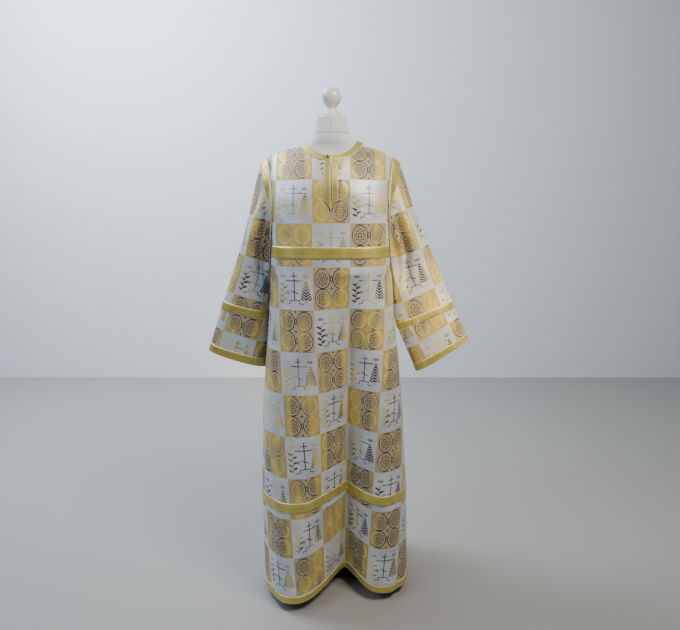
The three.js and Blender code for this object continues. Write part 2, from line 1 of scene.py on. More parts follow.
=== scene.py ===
"""A brocade sticharion with woven gold bands, worn by a limbless dress form.

The robe hangs from the form's shoulders in two panels and two tube sleeves. Every cloth piece is a thin shell
over a grid of points: rows run down the cloth and columns across it. Bands are strips of the same surfaces,
moved out. Lengths in the tables are millimetres, +Z is up and the robe faces -Y.
"""

import logging
import math
from dataclasses import dataclass, field
from enum import Enum
from functools import reduce

import bpy
import numpy as np
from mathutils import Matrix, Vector


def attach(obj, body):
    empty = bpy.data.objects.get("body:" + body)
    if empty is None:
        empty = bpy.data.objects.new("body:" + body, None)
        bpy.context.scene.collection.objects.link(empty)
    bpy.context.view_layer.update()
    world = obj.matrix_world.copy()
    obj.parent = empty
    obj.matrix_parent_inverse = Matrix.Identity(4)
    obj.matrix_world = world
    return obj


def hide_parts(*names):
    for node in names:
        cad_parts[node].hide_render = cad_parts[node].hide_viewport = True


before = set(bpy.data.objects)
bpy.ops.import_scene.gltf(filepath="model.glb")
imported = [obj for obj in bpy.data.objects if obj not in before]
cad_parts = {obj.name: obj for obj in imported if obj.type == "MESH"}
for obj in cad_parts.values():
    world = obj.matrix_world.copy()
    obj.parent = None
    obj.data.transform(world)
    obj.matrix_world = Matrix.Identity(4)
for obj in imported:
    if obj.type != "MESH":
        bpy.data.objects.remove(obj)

log = logging.getLogger("sticharion")
Array = np.ndarray

MM = 0.001
WALL = (-1.0, 1.0)  # inner and outer face of the brocade, from the middle of its wall
BAND_LIFT = 1.3  # from there to a band's inner face
BAND_THICKNESS = 1.2
LEAST_DEPTH = 0.15  # keeps the front and the back apart where they meet


class Face(Enum):
    """The side of the wearer that a panel or a fold lies on, as the sign of its y."""

    FRONT = -1
    BACK = 1


# ---- Curves and grids ----


def curve_through(at: Array, values: Array, where: Array) -> Array:
    """A smooth curve through rows of (at, value): cubic pieces with the neighbours' mean slope.

    Args:
        at: rising places of the rows.
        values: the value of each row.
        where: places to read, of any shape.

    Returns:
        The curve's values, in the shape of where.
    """
    at, values, where = (np.asarray(a, float) for a in (at, values, where))
    last = len(at) - 1
    i = np.clip(np.searchsorted(at, where, side="right") - 1, 0, last - 1)
    after, before = np.minimum(np.arange(last + 1) + 1, last), np.maximum(np.arange(last + 1) - 1, 0)
    slope = (values[after] - values[before]) / (at[after] - at[before])
    width = at[i + 1] - at[i]
    t = np.clip((where - at[i]) / width, 0, 1)
    rise = t * t * (3 - 2 * t)
    lead, tail = t * (1 - t) ** 2 * width * slope[i], t * t * (t - 1) * width * slope[i + 1]
    return values[i] + (values[i + 1] - values[i]) * rise + lead + tail


def smooth(t: Array) -> Array:
    """A soft step from 0 to 1."""
    t = np.clip(t, 0, 1)
    return t * t * (3 - 2 * t)


def ramp(value: Array, start: float, end: float) -> Array:
    """A soft step from 0 at start to 1 at end, which may be the lower of the two."""
    return smooth((value - start) / (end - start))


def mix(a: Array, b: Array, share: Array) -> Array:
    """The value between a and b at a share of the way."""
    return a + (b - a) * share


def bump(distance: Array, power: float = 2.0) -> Array:
    """A soft hill, 1 at no distance and falling as e to the minus distance to a power."""
    return np.exp(-np.abs(distance) ** power)


def corner_reach(c: Array, s: Array, corner: float) -> Array:
    """How far a superellipse of half widths 1 reaches in the direction (c, s)."""
    return (np.abs(c) ** corner + np.abs(s) ** corner) ** (-1 / corner)


def grid_normals(points: Array, wrap: bool) -> Array:
    """Unit normals of a grid of points, from its differences across and down.

    Args:
        points: an array of rows by columns by 3.
        wrap: whether the last column meets the first.

    Returns:
        An array of the same shape.
    """
    if wrap:
        across = np.roll(points, -1, axis=1) - np.roll(points, 1, axis=1)
    else:
        across = np.gradient(points, axis=1)
    normals = np.cross(across, np.gradient(points, axis=0))
    return normals / np.maximum(np.linalg.norm(normals, axis=2, keepdims=True), 1e-9)


def lengths_along(points: Array, axis: int) -> Array:
    """Distance run along a grid's rows or columns, from its first point.

    Args:
        points: rows by columns by 3.
        axis: 1 along the rows, 0 down the columns.

    Returns:
        An array of rows by columns.
    """
    steps = np.linalg.norm(np.diff(points, axis=axis), axis=2)
    start = np.zeros((points.shape[0], 1) if axis == 1 else (1, points.shape[1]))
    return np.concatenate([start, np.cumsum(steps, axis=axis)], axis=axis)


# ---- Meshes ----


@dataclass
class Shell:
    """A thin wall over a grid of points, closed all round.

    Attributes:
        points: rows by columns by 3, in millimetres.
        normals: outward normals of the same shape.
        uv: rows by columns by 2, in millimetres of cloth.
        inner: distance of the inner face along the normals.
        outer: distance of the outer face.
        wrap: whether the last column meets the first; uv then has one column more.
        open_cells: rows by columns of cells that are left out.
    """

    points: Array
    normals: Array
    uv: Array
    inner: float
    outer: float
    wrap: bool = False
    open_cells: Array | None = None

    def faces(self) -> tuple[Array, Array]:
        """Quads of both faces and of every free edge, with the uv index of each corner.

        Returns:
            Arrays of four vertex numbers and of four uv numbers for each face.
        """
        rows, columns = self.points.shape[:2]
        across = columns if self.wrap else columns - 1
        i, j = np.meshgrid(np.arange(rows - 1), np.arange(across), indexing="ij")
        kept = np.ones((rows - 1, across), bool) if self.open_cells is None else ~self.open_cells
        layer, uv_columns = rows * columns, self.uv.shape[1]

        def at(down: int, over: int) -> Array:
            """Number of the vertex at a cell's corner."""
            return (i + down) * columns + (j + over) % columns

        def uv_at(down: int, over: int) -> Array:
            """Number of the uv pair at a cell's corner."""
            return (i + down) * uv_columns + j + over

        a, b, c, d = at(0, 0), at(0, 1), at(1, 1), at(1, 0)
        ua, ub, uc, ud = uv_at(0, 0), uv_at(0, 1), uv_at(1, 1), uv_at(1, 0)
        padded = np.pad(kept, 1)
        if self.wrap:
            padded[1:-1, 0], padded[1:-1, -1] = kept[:, -1], kept[:, 0]
        free = {
            "top": kept & ~padded[:-2, 1:-1],
            "bottom": kept & ~padded[2:, 1:-1],
            "left": kept & ~padded[1:-1, :-2],
            "right": kept & ~padded[1:-1, 2:],
        }
        parts = [
            (kept, (a, d, c, b), (ua, ud, uc, ub)),
            (kept, (a + layer, b + layer, c + layer, d + layer), (ua, ub, uc, ud)),
            (free["top"], (b, b + layer, a + layer, a), (ub, ub, ua, ua)),
            (free["bottom"], (d, d + layer, c + layer, c), (ud, ud, uc, uc)),
            (free["left"], (a, a + layer, d + layer, d), (ua, ua, ud, ud)),
            (free["right"], (c, c + layer, b + layer, b), (uc, uc, ub, ub)),
        ]
        quads = np.concatenate([np.stack([v[mask] for v in q], axis=1) for mask, q, _ in parts])
        corners = np.concatenate([np.stack([v[mask] for v in u], axis=1) for mask, _, u in parts])
        return quads, corners

    def build(self, name: str) -> bpy.types.Object:
        """Makes the mesh object, in metres, with its faces outward and a uv map in metres of cloth.

        Args:
            name: the object's name.

        Returns:
            The mesh object.
        """
        outer = self.points + self.normals * self.outer
        inner = self.points + self.normals * self.inner
        vertices = np.concatenate([outer.reshape(-1, 3), inner.reshape(-1, 3)]) * MM
        quads, corners = self.faces()
        used = np.unique(quads)
        renumber = np.zeros(len(vertices), int)
        renumber[used] = np.arange(len(used))
        return mesh_object(name, vertices[used], renumber[quads], self.uv.reshape(-1, 2)[corners] * MM)


def raised(points: Array, normals: Array, uv: Array, lift: float, wrap: bool = False) -> Shell:
    """The wall of a band that lies at a lift above the points of its cloth."""
    return Shell(points, normals, uv, lift, lift + BAND_THICKNESS, wrap=wrap)


def mesh_object(name: str, vertices: Array, quads: Array, uv: Array | None = None) -> bpy.types.Object:
    """A smooth-shaded mesh object from arrays, turned so that its faces look outward.

    Args:
        name: the object's name.
        vertices: points in metres.
        quads: four vertex numbers for each face.
        uv: two numbers for each corner of each face, in metres of cloth.

    Returns:
        The object, linked to the scene.
    """
    a, b, c, d = (vertices[quads[:, k]] for k in range(4))
    volume = np.einsum("ij,ij->i", a, np.cross(b, c) + np.cross(c, d)).sum()
    if volume < 0:
        quads = quads[:, ::-1]
        uv = None if uv is None else uv[:, ::-1]
    mesh = bpy.data.meshes.new(name)
    mesh.from_pydata(vertices.tolist(), [], quads.tolist())
    if uv is not None:
        layer = mesh.uv_layers.new(name="Cloth")
        layer.data.foreach_set("uv", np.ascontiguousarray(uv, np.float32).ravel())
    mesh.polygons.foreach_set("use_smooth", np.ones(len(quads), bool))
    mesh.update()
    made = bpy.data.objects.new(name, mesh)
    bpy.context.scene.collection.objects.link(made)
    return made


def lathe(name: str, profile: Array, around: int = 64) -> bpy.types.Object:
    """A solid of revolution about the z axis through rows of (radius, height), closed at both ends.

    Args:
        name: the object's name.
        profile: rows of radius and height, in millimetres.
        around: points to a turn.

    Returns:
        The mesh object.
    """
    turn = np.linspace(0, 2 * np.pi, around, endpoint=False)
    out, height = profile[:, :1], profile[:, 1:]
    points = np.stack([out * np.cos(turn), out * np.sin(turn), height + 0 * turn], axis=2)
    return loft(name, points)


def loft(name: str, points: Array) -> bpy.types.Object:
    """A closed solid through rings of points, with a small cap of quads in the middle of each end.

    Args:
        name: the object's name.
        points: rings by points to a ring by 3, in millimetres.

    Returns:
        The mesh object.
    """
    rings, around = points.shape[:2]
    middles = points[[0, -1]].mean(axis=1, keepdims=True)
    inset = [middles[k] + (points[e] - middles[k]) * 0.02 for k, e in ((0, 0), (1, -1))]
    points = np.concatenate([inset[0][None], points, inset[1][None]])
    rings += 2
    i, j = np.meshgrid(np.arange(rings - 1), np.arange(around), indexing="ij")
    a, b = i * around + j, i * around + (j + 1) % around
    quads = np.stack([a, b, b + around, a + around], axis=2).reshape(-1, 4)
    k = np.arange(0, around // 2 - 1)
    for base in (0, (rings - 1) * around):
        cap = np.stack([base + k, base + k + 1, base + around - 2 - k, base + around - 1 - k], axis=1)
        quads = np.concatenate([quads, cap if base else cap[:, ::-1]])
    return mesh_object(name, points.reshape(-1, 3) * MM, quads)


# ---- The robe's surface ----


@dataclass(frozen=True)
class Fold:
    """A hanging trough that deepens from its top to the hem.

    Attributes:
        face: the panel that it lies in.
        top: height where it starts.
        x: place across where it starts.
        hem_x: place across at the hem.
        depth: how deep it is at the hem.
        width: how far its sides reach.
        growth: exponent of its deepening.
        lift: how far it draws up the hem.
    """

    face: Face
    top: float
    x: float
    hem_x: float
    depth: float
    width: float
    growth: float
    lift: float

    def fall(self, z: Array, hem: float) -> Array:
        """Share of the way down from its top to the hem."""
        return np.clip((self.top - z) / (self.top - hem), 0, None)

    def valley(self, fall: Array) -> Array:
        """Place across of its deepest line."""
        return mix(self.x, self.hem_x, fall)

    def sink(self, x: Array, z: Array, hem: float) -> Array:
        """How far in it takes the cloth."""
        fall = self.fall(z, hem)
        return self.depth * fall**self.growth * bump((x - self.valley(fall)) / self.width, 1.6)

    def raise_hem(self, x: Array, z: Array, hem: float) -> Array:
        """How far it draws the cloth up."""
        fall = self.fall(z, hem)
        return self.lift * fall * fall * bump((x - self.valley(fall)) / (1.2 * self.width))


@dataclass(frozen=True)
class Crease:
    """A soft ridge (or a trough where height is negative) drawn on a panel between two places.

    Attributes:
        face: the panel that it lies in.
        start: x and z of its upper end.
        end: x and z of its lower end.
        height: how far it stands out.
        width: how far its sides reach.
        bow: how far its middle is moved sideways.
    """

    face: Face
    start: tuple[float, float]
    end: tuple[float, float]
    height: float
    width: float
    bow: float = 0.0

    def at(self, x: Array, z: Array) -> Array:
        """How far out it moves the cloth: it rises and dies away over a quarter of its length at each end.

        Args:
            x: place across, at each point.
            z: unlifted height, at each point.

        Returns:
            An array of the same shape.
        """
        (x0, z0), (x1, z1) = self.start, self.end
        along = (z0 - z) / (z0 - z1)
        middle = mix(x0, x1, along) + self.bow * np.sin(np.pi * np.clip(along, 0, 1))
        return self.height * ramp(along, 0, 0.25) * ramp(along, 1, 0.75) * bump((x - middle) / self.width)


@dataclass
class RobeForm:
    """The surface of the robe's body, from its measured levels and folds.

    Attributes:
        hem: height of the hem; hem_band is the upper edge of its band.
        knee_band: lower and upper edge of that band, as for chest_band.
        underarm: height where the side seams start.
        tip_right: x of the shoulder's tip on that side, as for tip_left; tip_z is their height.
        top_z: height that the shoulder line would reach above the neck.
        shoulder_bend: exponent of the shoulder line's drop.
        neck_half: half width of the neckline; neck_front and neck_back are its reach in plan.
        slit_half: half width of the neck slit, which goes down to slit_end.
        drop: how far below the shoulder line the cloth reaches its full depth.
        rounding: exponent of the shoulders' rounding from front to back.
        corner: exponent of the plan's superellipse.
        armhole_dip: how far the armhole's edge bows in, as a share of its x.
        plan: the plan's limits at each level.
        folds: the hanging folds; the first of each face carries the straight grain.
        creases: the soft creases.
    """

    SECTION_POINTS = 961
    NECK_COLUMNS = 6

    hem: float = 30.0
    hem_band: float = 53.0
    knee_band: tuple[float, float] = (332.0, 364.0)
    chest_band: tuple[float, float] = (1107.0, 1143.0)
    underarm: float = 1060.0
    tip_right: float = 195.0
    tip_left: float = 188.0
    tip_z: float = 1409.0
    top_z: float = 1480.0
    shoulder_bend: float = 1.25
    neck_half: float = 76.0
    neck_front: float = 82.0
    neck_back: float = 62.0
    neck_band: float = 22.0
    slit_half: float = 1.5
    slit_end: float = 1276.0
    drop: float = 165.0
    rounding: float = 1.5
    corner: float = 3.0
    armhole_dip: float = 0.088
    plan: tuple[tuple[float, ...], ...] = (
        # z, right, left, front, back
        (30, -229, 256, 264, 206),
        (350, -232, 246, 238, 190),
        (690, -220, 223, 190, 160),
        (930, -198, 197, 158, 138),
        (1115, -191, 182, 142, 124),
        (1300, -195, 188, 129, 114),
        (1480, -202, 195, 120, 106),
    )
    folds: tuple[Fold, ...] = (
        Fold(Face.FRONT, 1060, 57, 43, 160, 66, 0.7, 30),
        Fold(Face.FRONT, 900, 4, -36, 32, 70, 1.1, 6),
        Fold(Face.FRONT, 900, 182, 166, 46, 92, 1.0, 0),
        Fold(Face.FRONT, 700, -178, -196, 16, 22, 1.2, 0),
        Fold(Face.FRONT, 640, 196, 214, 14, 20, 1.2, 0),
        Fold(Face.BACK, 1090, -52, -74, 96, 52, 0.8, 14),
        Fold(Face.BACK, 1040, 66, 92, 84, 50, 0.85, 12),
        Fold(Face.BACK, 720, -168, -186, 30, 26, 1.1, 0),
    )
    creases: tuple[Crease, ...] = (
        Crease(Face.FRONT, (-120, 1180), (-150, 860), 2.4, 26, 8),
        Crease(Face.FRONT, (120, 1200), (152, 830), 2.6, 28, -8),
        Crease(Face.FRONT, (-60, 900), (-84, 420), 3.2, 34, 6),
        Crease(Face.FRONT, (-146, 620), (-172, 60), 4.0, 30, -6),
        Crease(Face.FRONT, (142, 700), (176, 90), 3.6, 30, 8),
        Crease(Face.FRONT, (-30, 640), (-36, 80), -4.2, 26, -6),
        Crease(Face.FRONT, (104, 560), (118, 70), -3.6, 24, 5),
        Crease(Face.FRONT, (57, 1035), (43, 40), -9.0, 12, 0),
        Crease(Face.FRONT, (-172, 1260), (-120, 1170), 2.2, 16, 6),
        Crease(Face.FRONT, (172, 1250), (126, 1165), 2.0, 16, -6),
        Crease(Face.BACK, (-110, 1240), (-140, 820), 3.0, 30, 10),
        Crease(Face.BACK, (104, 1230), (150, 800), 2.6, 30, -8),
        Crease(Face.BACK, (6, 1120), (10, 560), 3.4, 34, 6),
        Crease(Face.BACK, (-140, 640), (-150, 70), 4.2, 26, 5),
        Crease(Face.BACK, (150, 640), (176, 80), 4.0, 30, -7),
        Crease(Face.BACK, (20, 520), (8, 70), -4.0, 22, 4),
    )

    def folds_of(self, face: Face) -> list[Fold]:
        """The folds of the front or the back."""
        return [fold for fold in self.folds if fold.face is face]

    def limits(self, z: Array) -> tuple[Array, Array, dict[Face, Array]]:
        """The plan's right and left limits and its depth to the front and back, at levels z.

        Args:
            z: heights, of any shape.

        Returns:
            The right limit, the left limit, and the depth of each face.
        """
        rows = np.array(self.plan, float).T
        right, left, front, back = (curve_through(rows[0], rows[k], z) for k in (1, 2, 3, 4))
        return right, left, {Face.FRONT: front, Face.BACK: back}

    def tip_share(self, x: Array) -> Array:
        """How far out towards the shoulder's tip a place is."""
        return np.abs(x) / np.where(np.asarray(x) < 0, self.tip_right, self.tip_left)

    def shoulder_z(self, x: Array) -> Array:
        """Height of the shoulder line: it drops from the neck to the tip as a power of the share."""
        return self.top_z - (self.top_z - self.tip_z) * self.tip_share(x) ** self.shoulder_bend

    def rounded(self, drop: Array) -> Array:
        """Share of its full depth that the cloth has, at a share of the drop below the shoulder line."""
        return (1 - (1 - np.clip(drop, 0, 1)) ** self.rounding) ** (1 / self.rounding)

    def drop_for(self, share: Array) -> Array:
        """The inverse of rounded."""
        return 1 - (1 - np.clip(share, 0, 1) ** self.rounding) ** (1 / self.rounding)

    def full_depth(self, face: Face, x: Array, z: Array) -> Array:
        """Depth of the cloth with its folds, before the rounding of the shoulders.

        The plan at each level is a superellipse. Each fold takes away a soft trough that deepens with a power
        of its fall, but nothing at the very sides.

        Args:
            face: front or back.
            x: places across.
            z: heights.

        Returns:
            The depth at each place, before or behind the shoulder line.
        """
        right, left, depths = self.limits(z)
        offset = np.clip(np.abs(x - (left + right) / 2) / ((left - right) / 2), 0, 1)
        share = (1 - offset**self.corner) ** (1 / self.corner)
        sunk = sum(fold.sink(x, z, self.hem) for fold in self.folds_of(face))
        return depths[face] * share - sunk * (1 - (1 - share) ** 4)

    def depth(self, face: Face, x: Array, z: Array) -> Array:
        """Depth of the cloth before or behind the shoulder line."""
        return self.full_depth(face, x, z) * self.rounded((self.shoulder_z(x) - z) / self.drop)

    def lift(self, face: Face, x: Array, z: Array) -> Array:
        """How far the folds draw the cloth up."""
        return sum(fold.raise_hem(x, z, self.hem) for fold in self.folds_of(face))

    def yoke_z(self, face: Face, x: Array, y: Array) -> Array:
        """Height of the cloth over a point of the plan near the shoulders, found by repeated substitution.

        Args:
            face: front or back.
            x: places across.
            y: how far before or behind the shoulder line they are.

        Returns:
            The height at each place.
        """
        z = self.shoulder_z(x) - 40
        for _ in range(12):
            z = self.shoulder_z(x) - self.drop * self.drop_for(y / self.full_depth(face, x, z))
        return z

    def section(self, face: Face, z: float, shares: Array) -> tuple[Array, Array]:
        """x and depth of points at shares of the plan's length, from the wearer's right to left.

        Args:
            face: front or back.
            z: the level.
            shares: shares of the way round.

        Returns:
            The x and the depth of each point.
        """
        right, left, _ = self.limits(np.array(z))
        turn = np.linspace(-np.pi / 2, np.pi / 2, self.SECTION_POINTS)
        s, c = np.sin(turn), np.cos(turn)
        x = (left + right) / 2 + (left - right) / 2 * corner_reach(c, s, self.corner) * s
        depth = self.depth(face, x, np.full_like(x, z))
        depth[[0, -1]] = 0
        run = np.concatenate([[0], np.cumsum(np.hypot(np.diff(x), np.diff(depth)))])
        where = shares * run[-1]
        return np.interp(where, run, x), np.interp(where, run, depth)

    def column_tops(self, slit: bool, shoulder_columns: int) -> Array:
        """x of the grid's guide columns along the neckline and the shoulders.

        Args:
            slit: whether the middle is the slit's two edges.
            shoulder_columns: columns from the neck to a tip.

        Returns:
            The places across, from the wearer's right to left.
        """
        quarter_turns = np.arange(1, self.NECK_COLUMNS + 1) / self.NECK_COLUMNS
        neck = self.neck_half * np.sin(quarter_turns * np.pi / 2)
        shares = np.arange(1, shoulder_columns + 1) / shoulder_columns
        tips = (self.tip_right, self.tip_left)
        right, left = (np.concatenate([neck, mix(self.neck_half, tip, shares)]) for tip in tips)
        middle = [-self.slit_half, self.slit_half] if slit else [0.0]
        return np.concatenate([-right[::-1], middle, left])

    def top_edge(self, face: Face, x: Array) -> Array:
        """Height of a panel's top edge: the shoulder line, or the neckline's cut inside it.

        Args:
            face: front or back.
            x: places across.

        Returns:
            The height at each place.
        """
        out = np.clip(np.abs(x) / self.neck_half, 0, 1)
        reach = self.neck_front if face is Face.FRONT else self.neck_back
        cut = self.yoke_z(face, x, reach * np.sqrt(np.maximum(1 - out**2, 0)))
        return np.where(out >= 1, self.shoulder_z(x), cut)


@dataclass
class Panel:
    """The front or the back of the robe as a fine grid.

    Attributes:
        form: the robe's surface.
        face: front or back.
        slit: whether it has the neck slit.
        shoulder_columns: guide columns from the neck to a shoulder's tip.
        per_guide: fine columns to each guide column.
    """

    form: RobeForm
    face: Face
    slit: bool
    shoulder_columns: int
    per_guide: int = 6
    points: Array = field(init=False)
    normals: Array = field(init=False)
    uv: Array = field(init=False)

    YOKE_ROWS = 64
    YOKE_SPACING = 1.35
    SKIRT_ROWS = 132
    BAND_ROWS = 6
    TABLE_STEP = 3.0

    def __post_init__(self) -> None:
        """Works out the grid, its creases, its uv map and its normals."""
        f = self.form
        tops = f.column_tops(self.slit, self.shoulder_columns)
        guide = np.linspace(0, len(tops) - 1, (len(tops) - 1) * self.per_guide + 1)
        shares = guide / (len(tops) - 1)
        top_x = np.interp(guide, np.arange(len(tops)), tops)
        under_x, _ = f.section(self.face, f.underarm, shares)
        v = (np.linspace(0, 1, self.YOKE_ROWS) ** self.YOKE_SPACING)[:, None]
        dip = 1 - f.armhole_dip * np.sin(np.pi * v**0.8) * f.tip_share(top_x) ** 4
        x = mix(top_x, under_x, smooth(v)) * dip
        z = mix(f.top_edge(self.face, top_x), f.underarm, v)
        depth = f.depth(self.face, x, z)
        levels = self.skirt_levels()
        skirt = np.array([f.section(self.face, level, shares) for level in levels])
        flat_z = np.concatenate([z, np.repeat(levels[:, None], len(shares), axis=1)])
        x = np.concatenate([x, skirt[:, 0]])
        depth = np.concatenate([depth, skirt[:, 1]])
        lifted = flat_z + np.where(flat_z < f.underarm, f.lift(self.face, x, flat_z), 0)
        points = np.stack([x, self.face.value * np.maximum(depth, LEAST_DEPTH), lifted], axis=2)
        self.uv = self.cloth_uv(points, flat_z)
        self.points = self.creased(points, flat_z)
        self.normals = self.outward(self.points)

    def skirt_levels(self) -> Array:
        """Heights of the skirt's rows, with the bands' edges among them.

        Returns:
            The heights, from just below the underarm to the hem.
        """
        f = self.form
        even = np.linspace(f.underarm, f.hem, self.SKIRT_ROWS)[1:]
        for level in (*f.knee_band, f.hem_band):
            even[np.abs(even - level).argmin()] = level
        return even

    def cloth_uv(self, points: Array, flat_z: Array) -> Array:
        """Cloth's own coordinates: distance across from the straight grain's middle, and height.

        Below the underarm the height is the unlifted level, and the distance across is measured along the row
        from the valley of the panel's first fold, in which one thread of the cloth lies all the way down.

        Args:
            points: the panel's grid, before its creases.
            flat_z: unlifted height of each point.

        Returns:
            An array of rows by columns by 2.
        """
        f, yoke = self.form, self.YOKE_ROWS
        run = lengths_along(points, 1)
        fold = f.folds_of(self.face)[0]
        valley = fold.valley(fold.fall(flat_z[:, 0], f.hem))
        at_valley = np.array([np.interp(v, row, r) for v, row, r in zip(valley, points[..., 0], run)])
        across = run - at_valley[:, None] + fold.x
        height = flat_z.copy()
        across[:yoke], height[:yoke] = self.yoke_uv(points[:yoke, :, 0], flat_z[:yoke])
        return np.stack([-self.face.value * across, height], axis=2)

    def yoke_uv(self, x: Array, z: Array) -> tuple[Array, Array]:
        """Cloth's coordinates above the underarm, read between the points of a table over x and z.

        Across is the length of the level section from the middle to x, with a third of its turn to the sides.
        Up is the length of the upright section at x from the underarm's level to z.

        Args:
            x: place across of each point.
            z: height of each point.

        Returns:
            The distance across and the height, on the cloth.
        """
        f, step = self.form, self.TABLE_STEP
        xs, zs = np.arange(-212.0, 213.0), np.arange(f.underarm, f.top_z + 4, step)
        table_x, table_z = np.meshgrid(xs, zs)
        depth = f.depth(self.face, table_x, table_z)
        across = np.pad(np.cumsum(np.hypot(1, 0.35 * np.diff(depth, axis=1)), axis=1), ((0, 0), (1, 0)))
        across -= across[:, len(xs) // 2][:, None]
        up = f.underarm + np.pad(np.cumsum(np.hypot(step, np.diff(depth, axis=0)), axis=0), ((1, 0), (0, 0)))
        column, row = np.clip(x - xs[0], 0, len(xs) - 1.001), np.clip((z - zs[0]) / step, 0, len(zs) - 1.001)
        i, j = row.astype(int), column.astype(int)
        low, high = (
            [mix(table[i + k, j], table[i + k, j + 1], column - j) for table in (across, up)] for k in (0, 1)
        )
        return mix(low[0], high[0], row - i), mix(low[1], high[1], row - i)

    def creased(self, points: Array, flat_z: Array) -> Array:
        """Moves the points in or out by the creases, a slow unevenness and puckers beside the bands.

        The unevenness dies away towards the shoulders and the armholes, and all of it at the side seams.

        Args:
            points: the panel's grid.
            flat_z: unlifted height of each point.

        Returns:
            The moved points.
        """
        x, f = points[..., 0], self.form
        out = sum(crease.at(x, flat_z) for crease in f.creases if crease.face is self.face)
        u, v = self.uv[..., 0], self.uv[..., 1]
        inside_armholes = smooth((f.tip_left + 10 - np.abs(x)) / 40 + (flat_z < 900))
        fading = ramp(v, f.top_z - 60, f.top_z - 180) * inside_armholes
        slow = 0.8 * np.sin(u / 47 + v / 83 + 1.1) * np.sin(v / 131 + 0.4) + 0.5 * np.sin(u / 29 - v / 61)
        pucker = sum(
            0.45 * np.sin(u / 5.1 + 2.2 * np.sin(u / 41)) * bump((v - level) / 16)
            for level in (*f.chest_band, *f.knee_band, f.hem_band)
        )
        moved = (out + slow * fading + pucker) * ramp(self.side_distance(), 6, 46)
        return points + self.outward(points) * moved[..., None]

    def side_distance(self) -> Array:
        """Distance across the cloth to the nearer side edge."""
        u = self.uv[..., 0]
        return np.minimum(np.abs(u - u[:, :1]), np.abs(u[:, -1:] - u))

    def outward(self, points: Array) -> Array:
        """Normals that look away from the wearer, square to the seams at the sides and the shoulders.

        Args:
            points: the panel's grid.

        Returns:
            An array of the same shape.
        """
        normals = grid_normals(points, False)
        normals *= np.where(normals[..., 1:2] * self.face.value < 0, -1, 1)
        below = slice(self.YOKE_ROWS - 1, None)
        for j in (0, -1):
            normals[below, j] = 0
            normals[below, j, 0] = np.sign(points[below, j, 0])
        shoulder = np.abs(points[0, :, 0]) >= self.form.neck_half - 0.01
        normals[0, shoulder, 1] = 0
        normals[0] /= np.linalg.norm(normals[0], axis=1, keepdims=True)
        return normals

    def shell(self) -> Shell:
        """The panel's wall, with the slit left open.

        Returns:
            The wall, with the cells above the slit's end left out between its edges.
        """
        open_cells = None
        if self.slit:
            middle, half = self.points.shape[1] // 2, self.per_guide // 2
            open_cells = np.zeros((len(self.points) - 1, self.points.shape[1] - 1), bool)
            above_end = self.points[1:, middle, 2] > self.form.slit_end
            open_cells[:, middle - half : middle + half] = above_end[:, None]
        return Shell(self.points, self.normals, self.uv, *WALL, open_cells=open_cells)

    def band(self, low: float, high: float, inset: int = 0) -> Shell:
        """A strip across the panel between two unlifted levels, moved out.

        Args:
            low: level of its lower edge.
            high: level of its upper edge.
            inset: columns that it stops short of each side.

        Returns:
            The strip's wall, with its uv in millimetres along and across.
        """
        levels = np.linspace(high, low, self.BAND_ROWS + 1)
        heights = self.uv[..., 1]
        order = np.arange(heights.shape[1])[inset : heights.shape[1] - inset]
        where = np.stack([np.interp(-levels, -heights[:, j], np.arange(len(heights))) for j in order], axis=1)
        i = np.clip(np.floor(where).astype(int), 0, len(heights) - 2)
        t = (where - i)[..., None]
        points = mix(self.points[i, order], self.points[i + 1, order], t)
        normals = mix(self.normals[i, order], self.normals[i + 1, order], t)
        along = lengths_along(points, 1)
        across = np.repeat((high - levels)[:, None], len(order), axis=1)
        return raised(points, normals, np.stack([along, across], axis=2), BAND_LIFT)


# ---- Sleeves ----


@dataclass(frozen=True)
class SleeveFold:
    """A trough along one face of a sleeve, beside the body.

    Attributes:
        face: the face that it lies in.
        depth: how deep it is.
        around: half turns from the upper edge to its middle.
        spread: how far its sides reach, in half turns.
        deepest: share of the sleeve's length at which it is deepest.
        reach: how far it reaches up and down from there, as a share.
    """

    face: Face
    depth: float
    around: float
    spread: float
    deepest: float
    reach: float


@dataclass(frozen=True)
class SleeveRidge:
    """A soft ridge that runs down a sleeve, or a trough where its height is negative.

    Attributes:
        height: how far it stands out.
        around: half turns from the upper edge, down the front, at the armhole.
        drift: how much further round it is at the cuff.
        spread: how far its sides reach, in half turns.
        rise: shares of the sleeve's length where it starts and where it is at its full height.
        fade: shares where it has gone and where it was last at its full height.
    """

    height: float
    around: float
    drift: float
    spread: float
    rise: tuple[float, float]
    fade: tuple[float, float]

    def at(self, around: Array, share: Array) -> Array:
        """How far out it moves the cloth."""
        hill = bump((around - self.around - self.drift * share) / self.spread)
        return self.height * hill * ramp(share, *self.rise) * ramp(share, *self.fade)


